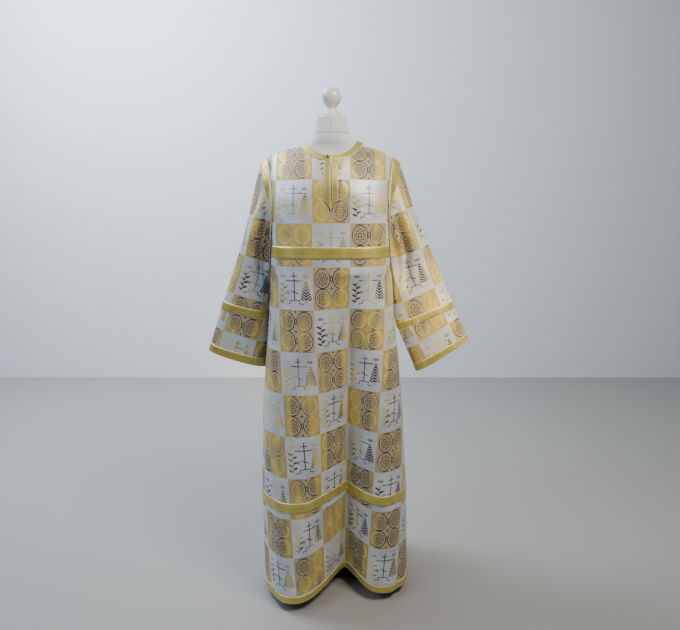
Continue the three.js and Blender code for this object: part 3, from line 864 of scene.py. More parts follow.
@dataclass
class Sleeve:
    """A tube sleeve between its upper and lower edges, set into the armhole.

    Attributes:
        name: right or left, the wearer's.
        side: the sign of its x.
        upper: x and z of the upper edge at the shares of its length.
        lower: the same for the lower edge.
        depth: half its opening from front to back at those shares.
        set_back: how far its middle lies behind the shoulder line there.

    SHARES are the places down the sleeve of those rows, and BANDS those of the edges of its bands. BLEND is
    the share over which the armhole's own shape gives way to the plain rings. SEAM is the gap to the panels
    at the shoulder, and twice that under the arm. BEND_ROW is a ring just past the bend of the upper edge.
    """

    name: str
    side: int
    upper: tuple[tuple[float, float], ...]
    lower: tuple[tuple[float, float], ...]
    depth: tuple[float, ...]
    set_back: tuple[float, ...]
    points: Array = field(init=False)
    normals: Array = field(init=False)
    uv: Array = field(init=False)

    SHARES = (0, 0.05, 0.24, 0.45, 0.71, 1)
    BANDS = {"armhole": (0.0, 0.05), "upper": (0.722, 0.768), "cuff": (0.958, 1.0)}
    AROUND = 168
    ROWS = 120
    CORNER = 2.3
    SEAM = 2.0
    BLEND = 0.35
    BEND_ROW = 8
    TUCK_IN, TUCK_BACK = 9.0, 17.0
    FOLDS = (
        SleeveFold(Face.FRONT, 26, 0.6, 0.17, 0.26, 0.24),
        SleeveFold(Face.BACK, 16, 0.5, 0.2, 0.36, 0.26),
    )
    RIDGES = (
        SleeveRidge(6.0, 0.3, 0.1, 0.07, (0.0, 0.1), (0.6, 0.3)),
        SleeveRidge(3.5, 0.72, 0.0, 0.09, (0.35, 0.55), (1.02, 0.92)),
        SleeveRidge(4.0, 1.6, -0.15, 0.08, (0.0, 0.2), (1.0, 0.7)),
        SleeveRidge(7.0, 0.2, 0.62, 0.055, (0.06, 0.16), (0.55, 0.3)),
        SleeveRidge(-6.0, 0.31, 0.62, 0.055, (0.06, 0.16), (0.55, 0.3)),
        SleeveRidge(5.0, 0.42, 0.62, 0.05, (0.06, 0.16), (0.55, 0.3)),
    )

    def rows(self) -> Array:
        """Shares of the length at which the rings lie, with the bands' edges among them.

        Returns:
            The shares, from the armhole to the cuff.
        """
        even = np.linspace(0, 1, self.ROWS)
        for edge in (e for pair in self.BANDS.values() for e in pair):
            even[np.abs(even - edge).argmin()] = edge
        return even

    def plain_rings(self, shares: Array) -> Array:
        """Rings from the upper edge down the front and up the back, clear of the armhole's own shape.

        Each ring is a superellipse between the two edges, with its troughs taken from its depth.

        Args:
            shares: shares of the sleeve's length.

        Returns:
            An array of rings by points by 3.
        """
        turn = np.linspace(0, 2 * np.pi, self.AROUND, endpoint=False)
        share = shares[:, None]
        c, s = np.cos(turn), np.sin(turn)
        reach = corner_reach(c, s, self.CORNER)
        upper, lower = np.array(self.upper, float).T, np.array(self.lower, float).T
        ux, uz, lx, lz = (curve_through(self.SHARES, e, share) for e in (*upper, *lower))
        depth, back = (curve_through(self.SHARES, e, share) for e in (self.depth, self.set_back))
        front = turn <= np.pi
        half_turns = np.where(front, turn, 2 * np.pi - turn) / np.pi
        sunk = 0 * (share + turn)
        for fold in self.FOLDS:
            hill = bump((half_turns - fold.around) / fold.spread) * bump((share - fold.deepest) / fold.reach)
            sunk = sunk + fold.depth * hill * (front if fold.face is Face.FRONT else ~front)
        between = (1 + reach * c) / 2
        y = back + np.where(front, -1, 1) * np.maximum(depth * reach * np.abs(s) - sunk, 0)
        return np.stack([self.side * mix(lx, ux, between), y, mix(lz, uz, between)], axis=2)

    def fit(self, front: Panel, back: Panel) -> None:
        """Sets the sleeve into the armhole between the two panels and works out its uv map and normals.

        Args:
            front: the front panel.
            back: the back panel.
        """
        column = 0 if self.side < 0 else -1
        half = self.AROUND // 2
        k = np.arange(self.AROUND)
        armhole = np.zeros((self.AROUND, 3))
        for panel, chosen in ((front, k <= half), (back, k > half)):
            edge = panel.points[: panel.YOKE_ROWS, column]
            run = np.concatenate([[0], np.cumsum(np.linalg.norm(np.diff(edge, axis=0), axis=1))])
            where = np.minimum(k, self.AROUND - k)[chosen] / half * run[-1]
            armhole[chosen] = np.stack([np.interp(where, run, edge[:, a]) for a in range(3)], axis=1)
        under = (1 - np.cos(2 * np.pi * k / self.AROUND)) / 2
        armhole[:, 0] += self.side * self.SEAM * (1 + under)
        armhole[[0, half], 1] = 0
        shares = self.rows()
        rings = self.plain_rings(shares)
        kept = (1 - smooth(shares / self.BLEND))[:, None, None]
        points = rings + (armhole - self.plain_rings(np.zeros(1))[0]) * kept
        self.uv = self.cloth_uv(points, shares)
        self.points = self.creased(points, shares)
        self.normals = self.outward(self.points)

    def cloth_uv(self, points: Array, shares: Array) -> Array:
        """Cloth's own coordinates: distance round from the upper edge, and height above the cuff.

        The grain's direction turns slowly from along the upper edge to square to the cuff. The height is the
        distance up the upper edge plus the way from there along the grain, and the distance round counts only
        what is square to the grain.

        Args:
            points: the sleeve's rings.
            shares: their shares of the sleeve's length.

        Returns:
            An array of rings by points by 2, with the first point again at the end.
        """
        closed = np.concatenate([points, points[:, :1]], axis=1)
        upper, cuff = points[:, 0], points[-1, 0] - points[-1, self.AROUND // 2]
        along = upper[self.BEND_ROW] - upper[-1]
        square = np.array([-cuff[2], 0, cuff[0]]) * np.sign(cuff[0])
        along, square = (d / np.linalg.norm(d) for d in (along, square))
        grain = mix(along, square, smooth((shares - 0.3) / 0.6)[:, None])
        grain /= np.linalg.norm(grain, axis=1, keepdims=True)
        run = lengths_along(points, 0)[:, 0]
        height = (run[-1] - run)[:, None] + np.einsum("ijk,ik->ij", closed - upper[:, None], grain)
        steps = np.diff(closed, axis=1)
        steps -= np.einsum("ijk,ik->ij", steps, grain)[..., None] * grain[:, None]
        around = np.pad(np.cumsum(np.linalg.norm(steps, axis=2), axis=1), ((0, 0), (1, 0)))
        return np.stack([-self.side * around, height], axis=2)

    def creased(self, points: Array, shares: Array) -> Array:
        """Adds the ridges along the sleeve, its unevenness and the puckers beside its bands.

        The front of the armhole's edge is then tucked in below its upper third, behind the cloth of the body.

        Args:
            points: the sleeve's rings.
            shares: their shares of the sleeve's length.

        Returns:
            The moved points.
        """
        around = np.linspace(0, 2, self.AROUND, endpoint=False)
        t = shares[:, None]
        ridges = sum(ridge.at(around, t) for ridge in self.RIDGES)
        u, v = self.uv[:, :-1, 0], self.uv[:, :-1, 1]
        slow = 0.7 * np.sin(u / 31 + v / 57) * np.sin(v / 77) * ramp(t, 0, 0.1)
        beside = sum(bump((t - edge) / 0.02) for edge in (*self.BANDS["upper"], self.BANDS["cuff"][0]))
        pucker = 0.8 * np.sin(around * np.pi * 17 + 1.5 * np.sin(around * 9)) * beside
        moved = (ridges + slow + pucker) * ramp(t, 0, 0.06)
        tucked = ramp(around, 0.16, 0.34) * ramp(around, 0.92, 0.82) * ramp(t, 0.28, 0.06) * ramp(t, 0, 0.05)
        tuck = tucked[..., None] * np.array([-self.TUCK_IN * self.side, self.TUCK_BACK, 0.0])
        return points + self.outward(points) * moved[..., None] + tuck

    def outward(self, points: Array) -> Array:
        """Normals that look away from the sleeve's middle.

        Args:
            points: the sleeve's rings.

        Returns:
            An array of the same shape.
        """
        normals = grid_normals(points, True)
        row = len(points) // 2
        away = points[row, 0] - points[row].mean(axis=0)
        return normals if normals[row, 0] @ away > 0 else -normals

    def shell(self) -> Shell:
        """The sleeve's wall."""
        return Shell(self.points, self.normals, self.uv, *WALL, wrap=True)

    def band(self, what: str) -> Shell:
        """One of the sleeve's bands: whole rings of it, moved out.

        Args:
            what: armhole, upper or cuff.

        Returns:
            The band's wall.
        """
        shares = self.rows()
        chosen = (shares >= self.BANDS[what][0] - 1e-9) & (shares <= self.BANDS[what][1] + 1e-9)
        points = self.points[chosen]
        closed = np.concatenate([points, points[:, :1]], axis=1)
        across = np.linspace(0, lengths_along(points, 0)[-1].mean(), len(points))[:, None]
        uv = np.stack([lengths_along(closed, 1), across + 0 * closed[..., 0]], axis=2)
        return raised(points, self.normals[chosen], uv, BAND_LIFT, wrap=True)


# ---- Neckline, slit and button ----


@dataclass
class Neckline:
    """The bands round the neck and down the slit, and the button.

    Attributes:
        form: the robe's surface.
        placket: width of a slit band.
        corner_z: height of its outer lower corner.
        point_z: height where the two bands meet.
        lift: from the cloth's middle to these bands' inner faces; they lie over the panel's edge.
        seam_gap: half the gap between the slit's bands below the slit.
        button_x: place across of the button.
        button_radius: its radius; it is flattened by button_flat towards the cloth.
    """

    form: RobeForm
    placket: float = 19.0
    corner_z: float = 1278.0
    point_z: float = 1250.0
    lift: float = 2.0
    seam_gap: float = 0.3
    button_x: float = -9.0
    button_radius: float = 6.3
    button_flat: float = 0.85

    STRIP_COLUMNS = 7
    HALVINGS = 22

    @property
    def slit_turn(self) -> float:
        """Angle along the neckline at which the slit's edge meets it."""
        return math.asin(self.form.slit_half / self.form.neck_half)

    def strip(self, face: Face, start: float, end: float, steps: int) -> Shell:
        """A band along the neckline between two angles from the middle of the front or the back.

        Each point goes out from the neckline square to it in plan, by bisection, until it is a share of the
        band's width away in space.

        Args:
            face: front or back.
            start: the first angle.
            end: the last angle.
            steps: cells between them.

        Returns:
            The band's wall.
        """
        f = self.form
        reach = f.neck_front if face is Face.FRONT else f.neck_back
        turn = np.linspace(start, end, steps + 1)
        x, y = f.neck_half * np.sin(turn), reach * np.abs(np.cos(turn))
        away = np.stack([reach * np.sin(turn), f.neck_half * np.abs(np.cos(turn))])
        away /= np.linalg.norm(away, axis=0)
        share = np.linspace(0, 1, self.STRIP_COLUMNS)[:, None]
        edge = self.surface(face, x, y)

        def there(run: Array) -> Array:
            """Points of the yoke at a run out from the neckline."""
            return self.surface(face, x + run * away[0], y + run * away[1])

        near, far = 0 * (share + x), f.neck_band * share + 0 * x
        for _ in range(self.HALVINGS):
            middle = (near + far) / 2
            short = np.linalg.norm(there(middle) - edge, axis=2) < f.neck_band * share
            near, far = np.where(short, middle, near), np.where(short, far, middle)
        points = there(near)
        uv = np.stack([lengths_along(points, 1), f.neck_band * share + 0 * x], axis=2)
        return raised(points, self.outward(points, face, turn), uv, self.lift)

    def surface(self, face: Face, x: Array, y: Array) -> Array:
        """Points of the yoke over places of the plan."""
        z = self.form.yoke_z(face, x, y)
        return np.stack([x + 0 * z, face.value * np.maximum(y, LEAST_DEPTH) + 0 * z, z], axis=-1)

    def outward(self, points: Array, face: Face, turn: Array) -> Array:
        """Normals away from the wearer, square to the shoulder seams.

        Args:
            points: the band's grid.
            face: front or back.
            turn: each column's angle along the neckline.

        Returns:
            An array of the same shape.
        """
        normals = grid_normals(points, False)
        normals *= np.where(normals[..., 1:2] * face.value < 0, -1, 1)
        normals[:, np.abs(np.cos(turn)) < 1e-6, 1] = 0
        return normals / np.linalg.norm(normals, axis=2, keepdims=True)

    def placket_band(self, hand: int) -> Shell:
        """The band down one side of the slit, mitred where it meets the other.

        Args:
            hand: -1 on the wearer's right, 1 on the left.

        Returns:
            The band's wall.
        """
        f = self.form
        inner, outer = f.slit_half, f.slit_half + self.placket
        across = np.linspace(0, 1, 9)
        x_top = mix(inner, outer, across)
        lower = self.strip(Face.FRONT, self.slit_turn, np.pi / 2, 40).points[-1]
        top = np.interp(x_top, lower[:, 0], lower[:, 2]) - 1.2
        down = np.linspace(0, 1, 60)[:, None]
        bottom = mix(self.point_z, self.corner_z, across)
        z = mix(top, bottom, down)
        closing = smooth((f.slit_end - z) / 4)
        x = hand * mix(mix(inner, self.seam_gap, closing), outer, across)
        points = np.stack([x, -f.depth(Face.FRONT, x, z), z], axis=2)
        uv = np.stack([lengths_along(points, 0), np.abs(x) - inner * (1 - closing)], axis=2)
        return raised(points, self.outward(points, Face.FRONT, np.zeros(9)), uv, self.lift)

    def button(self) -> bpy.types.Object:
        """A gilt ball, a little flattened against the band, on the wearer's right of the slit.

        Returns:
            The mesh object.
        """
        strip = self.strip(Face.FRONT, -np.pi / 2, -self.slit_turn, 60)
        row, normals = strip.points[self.STRIP_COLUMNS // 2], strip.normals[self.STRIP_COLUMNS // 2]
        place, out = (
            np.array([np.interp(self.button_x, row[:, 0], values[:, a]) for a in range(3)])
            for values in (row, normals)
        )
        turn = np.linspace(0, 2 * np.pi, 40, endpoint=False)
        rise = np.linspace(-np.pi / 2 + 0.05, np.pi / 2 - 0.05, 24)[:, None]
        flutes = 1 + 0.03 * np.cos(turn * 8) * np.cos(rise)
        ring, half = self.button_radius * np.cos(rise) * flutes, self.button_flat * self.button_radius
        local = np.stack([ring * np.cos(turn), ring * np.sin(turn), half * np.sin(rise) + 0 * turn], axis=2)
        side = np.cross(out, [0, 0, 1.0])
        side /= np.linalg.norm(side)
        axes = np.stack([side, np.cross(out, side), out])
        centre = place + out * (self.lift + BAND_THICKNESS + half + 0.2)
        return loft("gilt_button", local @ axes + centre)


# ---- The dress form and its stand ----


@dataclass
class DressForm:
    """The covered torso with its neck, and the finial.

    Attributes:
        corner: exponent of the rings' superellipse.
        levels: the torso's half width and depths at each level.
        top_half: half width of the neck's flat top, at top_z.
        seam_z: height of the groove that the neck's seam draws.
        knob: radius and height of the finial's outline.
    """

    corner: float = 2.25
    levels: tuple[tuple[float, ...], ...] = (
        # z, half width, front, back
        (842, 150, 104, 96),
        (850, 156, 110, 102),
        (940, 152, 112, 100),
        (1050, 138, 106, 90),
        (1150, 150, 120, 98),
        (1250, 162, 118, 100),
        (1320, 168, 104, 90),
        (1362, 172, 84, 74),
        (1390, 170, 64, 58),
        (1410, 156, 50, 46),
        (1427, 124, 46, 42),
        (1442, 91, 46, 41),
        (1458, 69, 50, 43),
        (1485, 53, 49, 46),
        (1528, 44, 44, 44),
    )
    top_half: float = 36.0
    top_z: float = 1531.0
    seam_z: float = 1478.0
    knob: tuple[tuple[float, float], ...] = (
        (31, 1531.5), (31, 1536), (24, 1543), (15, 1549), (14, 1554), (19, 1561), (27, 1572),
        (30, 1585), (28.5, 1597), (22, 1608), (12, 1615), (2, 1617.4),
    )

    AROUND = 96

    def torso(self) -> bpy.types.Object:
        """The torso and neck through superellipse rings, smooth from level to level.

        Returns:
            The mesh object.
        """
        rows = np.array(self.levels, float).T
        z = np.unique(np.concatenate([np.linspace(rows[0][0], rows[0][-1], 150), rows[0]]))
        turn = np.linspace(0, 2 * np.pi, self.AROUND, endpoint=False)
        c, s = np.cos(turn), np.sin(turn)
        reach = corner_reach(c, s, self.corner)
        half, front, back = (curve_through(rows[0], rows[k], z)[:, None] for k in (1, 2, 3))
        seam = 1 - 0.012 * bump((z - self.seam_z) / 1.6)[:, None]
        x = half * reach * c * seam
        y = np.where(s < 0, front, back) * reach * s * seam
        rings = np.stack([x, y, np.repeat(z[:, None], self.AROUND, axis=1)], axis=2)
        lid = rings[-1] * [self.top_half / rows[1][-1], self.top_half / rows[2][-1], 1]
        lid[:, 2] = self.top_z
        return loft("covered_torso", np.concatenate([rings, lid[None]]))

    def finial(self) -> bpy.types.Object:
        """The turned knob on the neck.

        Returns:
            The mesh object.
        """
        rows = np.array(self.knob, float).T
        run = np.concatenate([[0], np.cumsum(np.hypot(np.diff(rows[0]), np.diff(rows[1])))])
        fine = np.linspace(0, run[-1], 90)
        profile = np.stack([curve_through(run, rows[0], fine), curve_through(run, rows[1], fine)], axis=1)
        return lathe("turned_finial", np.maximum(profile, [0.5, rows[1][0]]))


# ---- Materials ----


def linear(hex_colour: str) -> tuple[float, float, float, float]:
    """An sRGB hex colour as linear red, green, blue and alpha."""
    parts = [int(hex_colour[i : i + 2], 16) / 255 for i in (1, 3, 5)]
    return (*(p / 12.92 if p <= 0.04045 else ((p + 0.055) / 1.055) ** 2.4 for p in parts), 1.0)


@dataclass(frozen=True)
class Value:
    """A number worked out by a material's nodes, with arithmetic."""

    graph: "Graph"
    socket: bpy.types.NodeSocket

    def __add__(self, other: "Value | float") -> "Value":
        """Sum."""
        return self.graph.math("ADD", self, other)

    def __sub__(self, other: "Value | float") -> "Value":
        """Difference."""
        return self.graph.math("SUBTRACT", self, other)

    def __rsub__(self, other: float) -> "Value":
        """Difference from a number."""
        return self.graph.math("SUBTRACT", other, self)

    def __mul__(self, other: "Value | float") -> "Value":
        """Product."""
        return self.graph.math("MULTIPLY", self, other)

    def __truediv__(self, other: "Value | float") -> "Value":
        """Quotient."""
        return self.graph.math("DIVIDE", self, other)

    def __abs__(self) -> "Value":
        """Size without its sign."""
        return self.graph.math("ABSOLUTE", self)

    def __pow__(self, power: float) -> "Value":
        """Power."""
        return self.graph.math("POWER", self, power)

    def sin(self) -> "Value":
        """Sine."""
        return self.graph.math("SINE", self)

    def cos(self) -> "Value":
        """Cosine."""
        return self.graph.math("COSINE", self)

    def wave(self, length: float) -> "Value":
        """Sine with a given wavelength."""
        return (self * (2 * math.pi / length)).sin()

    def floor(self) -> "Value":
        """Whole part."""
        return self.graph.math("FLOOR", self)

    def low(self, other: "Value | float") -> "Value":
        """The smaller of two."""
        return self.graph.math("MINIMUM", self, other)

    def high(self, other: "Value | float") -> "Value":
        """The larger of two."""
        return self.graph.math("MAXIMUM", self, other)

    def inside(self, soft: float = 0.7) -> "Value":
        """1 where this distance is negative and 0 where it is positive, over a soft edge."""
        return self.graph.math("MULTIPLY_ADD", self, -1 / soft, 0.5, clamp=True)


@dataclass(frozen=True)
class Graph:
    """A material's node tree, and short ways to add to it."""

    tree: bpy.types.NodeTree

    def add(self, kind: str, inputs: dict | None = None, **settings: object) -> bpy.types.Node:
        """Adds a node, sets its properties, and sets or links its inputs.

        Args:
            kind: the node's type without the ShaderNode prefix.
            inputs: values, Values or sockets by input name or number.
            settings: the node's own properties.

        Returns:
            The node.
        """
        node = self.tree.nodes.new(f"ShaderNode{kind}")
        for name, setting in settings.items():
            setattr(node, name, setting)
        self.fill(node, inputs or {})
        return node

    def fill(self, node: bpy.types.Node, inputs: dict) -> None:
        """Sets a node's inputs, or links them where a Value or a socket is given.

        Args:
            node: the node.
            inputs: what each input gets, by its name or number.
        """
        for name, value in inputs.items():
            value = value.socket if isinstance(value, Value) else value
            if isinstance(value, bpy.types.NodeSocket):
                self.tree.links.new(value, node.inputs[name])
            else:
                node.inputs[name].default_value = value

    def math(self, operation: str, *parts: "Value | float", clamp: bool = False) -> Value:
        """One arithmetic step."""
        node = self.add("Math", dict(enumerate(parts)), operation=operation, use_clamp=clamp)
        return Value(self, node.outputs[0])

    def blend(self, share: "Value | float", a: object, b: object) -> bpy.types.NodeSocket:
        """A colour between a and b."""
        return self.add("Mix", {0: share, 6: a, 7: b}, data_type="RGBA").outputs[2]

    def cloth_place(self) -> tuple[Value, Value]:
        """The place on the cloth in millimetres, across and up, from the uv map.

        Returns:
            The distance across and up.
        """
        uv = self.add("UVMap", uv_map="Cloth").outputs["UV"]
        parts = self.add("SeparateXYZ", {0: uv})
        return Value(self, parts.outputs[0]) * 1000.0, Value(self, parts.outputs[1]) * 1000.0

    def noise(self, size_mm: float, detail: float = 2.0) -> Value:
        """A soft unevenness of a given size, fixed to the object.

        Args:
            size_mm: size of its hills.
            detail: how many finer layers it has.

        Returns:
            A number about a half.
        """
        where = self.add("TexCoord").outputs["Object"]
        node = self.add("TexNoise", {"Vector": where, "Scale": 1000 / size_mm, "Detail": detail})
        return Value(self, node.outputs[0])

    def relief(self, height: Value, depth: float, strength: float) -> bpy.types.NodeSocket:
        """Normals bent by a height of 0 to 1 that stands for a depth in millimetres."""
        return self.add("Bump", {"Height": height, "Distance": depth * MM, "Strength": strength}).outputs[0]


def new_material(name: str) -> tuple[bpy.types.Material, Graph, bpy.types.Node]:
    """A material with one principled shader.

    Args:
        name: the material's name.

    Returns:
        The material, its graph and its shader node.
    """
    material = bpy.data.materials.new(name)
    material.use_nodes = True
    return material, Graph(material.node_tree), material.node_tree.nodes["Principled BSDF"]


def box_gap(x: Value, y: Value, half_x: float, half_y: float) -> Value:
    """Distance outside a rectangle about the origin, negative within it."""
    return (abs(x) - half_x).high(abs(y) - half_y)


def radius(x: Value, y: Value) -> Value:
    """Distance from the origin."""
    return (x * x + y * y) ** 0.5


def union(*figures: Value) -> Value:
    """Distance to the nearest of several figures."""
    return reduce(Value.low, figures)


@dataclass(frozen=True)
class BrocadeFinish:
    """Silver-white satin and beige checks, figured in gold yarn.

    The satin gives the broad soft shine. The gold yarn is a flat metal thread that looks dark brown turned
    from the light and bright yellow turned to it; here that is painted into its colour as painted shade and
    painted highlight, mixed in slow upright streaks.

    Each figure is a distance in millimetres, negative within it, over x and y from the middle of its check.

    Attributes:
        row_start: height on the cloth at which a row of checks starts.
        tile: width and height of a check in millimetres.
        streak: width and height of the yarn's painted highlight streaks in millimetres.
        satin: colour of the white checks, mixed towards satin_shade in slow patches of painted sheen and
            shade.
        beige: colour of the figured checks, painted lighter towards beige_lit where the yarn's painted
            highlight falls.
        yarn_shade: the yarn's colour in painted shade, turned from the light; gold is its painted highlight
            colour, turned to it.
        edge: colour of the line between the checks.
    """

    row_start: float
    tile: tuple[float, float] = (111.5, 128.5)
    streak: tuple[float, float] = (52.0, 190.0)
    satin: str = "#E9EDF2"
    satin_shade: str = "#B4BDCD"
    beige: str = "#B8A885"
    beige_lit: str = "#C8B05A"
    yarn_shade: str = "#47300F"
    edge: str = "#E4E0C4"
    gold: str = "#F6DF66"

    # A stroke of the cross: height of its middle, half width, half height, and its fall to the right.
    STROKES = (
        # up, wide, tall, fall
        (6.5, 1.6, 42.0, 0.0),
        (37.0, 10.0, 1.4, 0.0),
        (23.0, 28.5, 1.6, 0.0),
        (-11.5, 11.0, 1.6, 0.4),
    )
    # The blocks whose edge is drawn as steps under it: height of the top and half width.
    STEPS = ((-36.0, 15.0), (-46.0, 25.0))
    BLOCK = 40.0
    STEPS_FOOT = -52.0
    SPRAY_X, VINE_X, SPRIG_PLACE = 35.0, -36.0, (35.0, 36.0)
    VINE_PITCH = 8.6
    # Middle of a medallion, its width over its height, and its rings' radius and half width.
    MEDALLION = (26.5, 29.5)
    ROUNDNESS = 0.79
    RINGS = ((22.0, 1.6), (17.2, 0.9), (5.2, 1.2), (0.0, 1.5))
    PALE_RING = 19.4

    def cross(self, x: Value, y: Value) -> Value:
        """Distance to a three-bar cross on steps: the traditional sign, in plain strokes."""
        strokes = [box_gap(x, y - up + x * fall, wide, tall) for up, wide, tall, fall in self.STROKES]
        blocks = [box_gap(x, y - top + self.BLOCK, wide, self.BLOCK) for top, wide in self.STEPS]
        steps = (abs(union(*blocks)) - 1.2).high(y * -1.0 + self.STEPS_FOOT)
        return union(*strokes, steps)

    def spray(self, x: Value, y: Value) -> Value:
        """Distance to an upright spray of paired leaves.

        The leaves are the crests of a sine along the stem that rise with the distance from it, inside a width
        that grows as a power of the distance from the tip.
        """
        off, tip, foot, stem = abs(x - self.SPRAY_X), 27.0, -36.0, 0.9
        width = (tip - y).high(0.0) ** 0.7
        leaves = (y - off * 0.8).wave(8.8) * -3.0 - 1.1
        return leaves.high(off - width).high(y * -1.0 + foot).low(box_gap(off, y + 12.0, stem, 33.0))

    def vine(self, x: Value, y: Value) -> Value:
        """Distance to a wavy stem that carries a slanting leaf at each turn, now left and now right.

        A leaf is an ellipse 6 mm out from the stem, and a small ring near the foot is its tendril.
        """
        up, off = y + 45.0, x - self.VINE_X
        step = up / self.VINE_PITCH
        hand = x.graph.math("PINGPONG", step.floor(), 1.0) * 2.0 - 1.0
        out = off * hand - 6.0
        rise = (step - step.floor() - 0.5) * self.VINE_PITCH - out * 0.45
        leaves = (out * out * 0.2 + rise * rise) ** 0.5 - 3.5
        stem = abs(off + (up * (math.pi / self.VINE_PITCH)).cos() * 2.4) - 1.0
        tendril = abs(radius(x + 20.0, y + 13.0) - 3.4) - 1.2
        return leaves.low(stem).high(abs(y + 14.0) - 30.5).low(tendril)

    def sprigs(self, x: Value, y: Value) -> Value:
        """Distance to a small leafy sprig, lying flat, in each upper corner."""
        side, up = abs(x) - self.SPRIG_PLACE[0], abs(y - self.SPRIG_PLACE[1])
        leaves = (side + up * 0.9).wave(5.6) * -1.8
        return leaves.high((side * side * 0.3 + up * up) ** 0.5 - 5.2).low(box_gap(side, up, 9.0, 0.7))

    def roundel(self, x: Value, y: Value) -> tuple[Value, Value]:
        """Radius and turn about the nearest of the four tall medallions."""
        out, up = abs(x) - self.MEDALLION[0], (abs(y) - self.MEDALLION[1]) * self.ROUNDNESS
        return radius(out, up), x.graph.math("ARCTAN2", up, out)

    def medallions(self, x: Value, y: Value) -> Value:
        """Distance to two by two tall ringed rosettes, with lozenges, a small cross and bars between them."""
        r, turn = self.roundel(x, y)
        rings = [abs(r - middle) - half for middle, half in self.RINGS]
        petals = abs(r - (turn * 8.0).cos() * 2.0 - 11.8) - 1.35
        between = abs(abs(y) - self.MEDALLION[1])
        lozenge = abs(abs(x) * 2.4 + between - 9.0) * 0.4 - 1.0
        corner = abs(x) + abs(abs(y) - 58.5) - 3.6
        bar = box_gap(abs(x) - self.MEDALLION[0], abs(y) - 61.4, 15.0, 1.1)
        return union(*rings, petals, lozenge, box_gap(x, y, 7.0, 1.1), box_gap(x, y, 1.1, 5.5), corner, bar)

    def painted_glint(self, graph: Graph, across: Value, up: Value) -> Value:
        """Share of painted highlight on the yarn: slow upright streaks, near the checks' sides more than
        elsewhere.

        Args:
            graph: the material's graph.
            across: distance across the cloth.
            up: height on the cloth.

        Returns:
            A number from 0 to 1.
        """
        wide, tall = self.streak
        place = graph.add("CombineXYZ", {0: across / wide, 1: up / tall, 2: 0.37}).outputs[0]
        noise = graph.add("TexNoise", {"Vector": place, "Scale": 1.0, "Detail": 2.0})
        sides = ((across / self.tile[0] + 0.5) * (2 * math.pi)).cos() * 0.3
        streaks = Value(graph, noise.outputs[0]) * 7.0 - 3.25 + sides
        return graph.math("SMOOTH_MIN", streaks.high(0.0), 1.0, 0.1)

    def build(self) -> bpy.types.Material:
        """Makes the material.

        Returns:
            The material, on a node tree of its own.
        """
        material, graph, shader = new_material(f"gold figured brocade {self.row_start:.0f}")
        across, up = graph.cloth_place()
        width, height = self.tile
        column, row = across / width + 0.5, (up - self.row_start) / height
        x, y = (column - column.floor() - 0.5) * width, (row - row.floor() - 0.5) * height
        figured = graph.math("PINGPONG", column.floor() + row.floor(), 1.0)
        emblem = self.cross(x, y).low(self.spray(x, y)).low(self.vine(x, y)).low(self.sprigs(x, y))
        drawn = (emblem * (1.0 - figured) + self.medallions(x, y) * figured).inside(1.2)
        edge = (width / 2 - abs(x)).low(height / 2 - abs(y))
        border = (edge - 0.9).inside(0.8) * 0.45
        # Painted highlight: in these streaks the yarn is painted bright gold, the figured ground lighter and
        # the pale rings fainter.
        painted_glint = self.painted_glint(graph, across, up)
        fleck = graph.noise(1.7, 1.0)
        # Painted sheen and shade: the white satin is mixed towards its shaded colour in slow noise patches.
        satin_painted_sheen = graph.blend(graph.noise(70, 2.0) * 1.8 - 0.5, linear(self.satin), linear(self.satin_shade))
        beige = graph.blend(painted_glint * 0.85 + fleck * 0.4 - 0.2, linear(self.beige), linear(self.beige_lit))
        pale = (abs(self.roundel(x, y)[0] - self.PALE_RING) - 1.2).inside(1.6) * (1.0 - painted_glint * 0.5) * 0.7
        ground = graph.blend(figured, satin_painted_sheen, graph.blend(pale, beige, linear(self.satin)))
        # Painted shade and painted highlight of the yarn: dark brown turned from the light, bright gold
        # turned to it.
        yarn = graph.blend(painted_glint, linear(self.yarn_shade), linear(self.gold))
        colour = graph.blend(border, graph.blend(drawn, ground, yarn), linear(self.edge))
        weave = (across.wave(0.9) + up.wave(0.7)) * 0.12
        plain = (1.0 - figured) * (1.0 - drawn)
        graph.fill(shader, {
            "Base Color": colour,
            "Metallic": drawn * (painted_glint * 0.3 + 0.1) + figured * painted_glint * 0.1 + plain * 0.28,
            "Roughness": 0.44 - drawn * 0.06 + figured * 0.06,
            "Normal": graph.relief(weave + drawn * 0.6, 0.3, 0.5),
        })
        return material


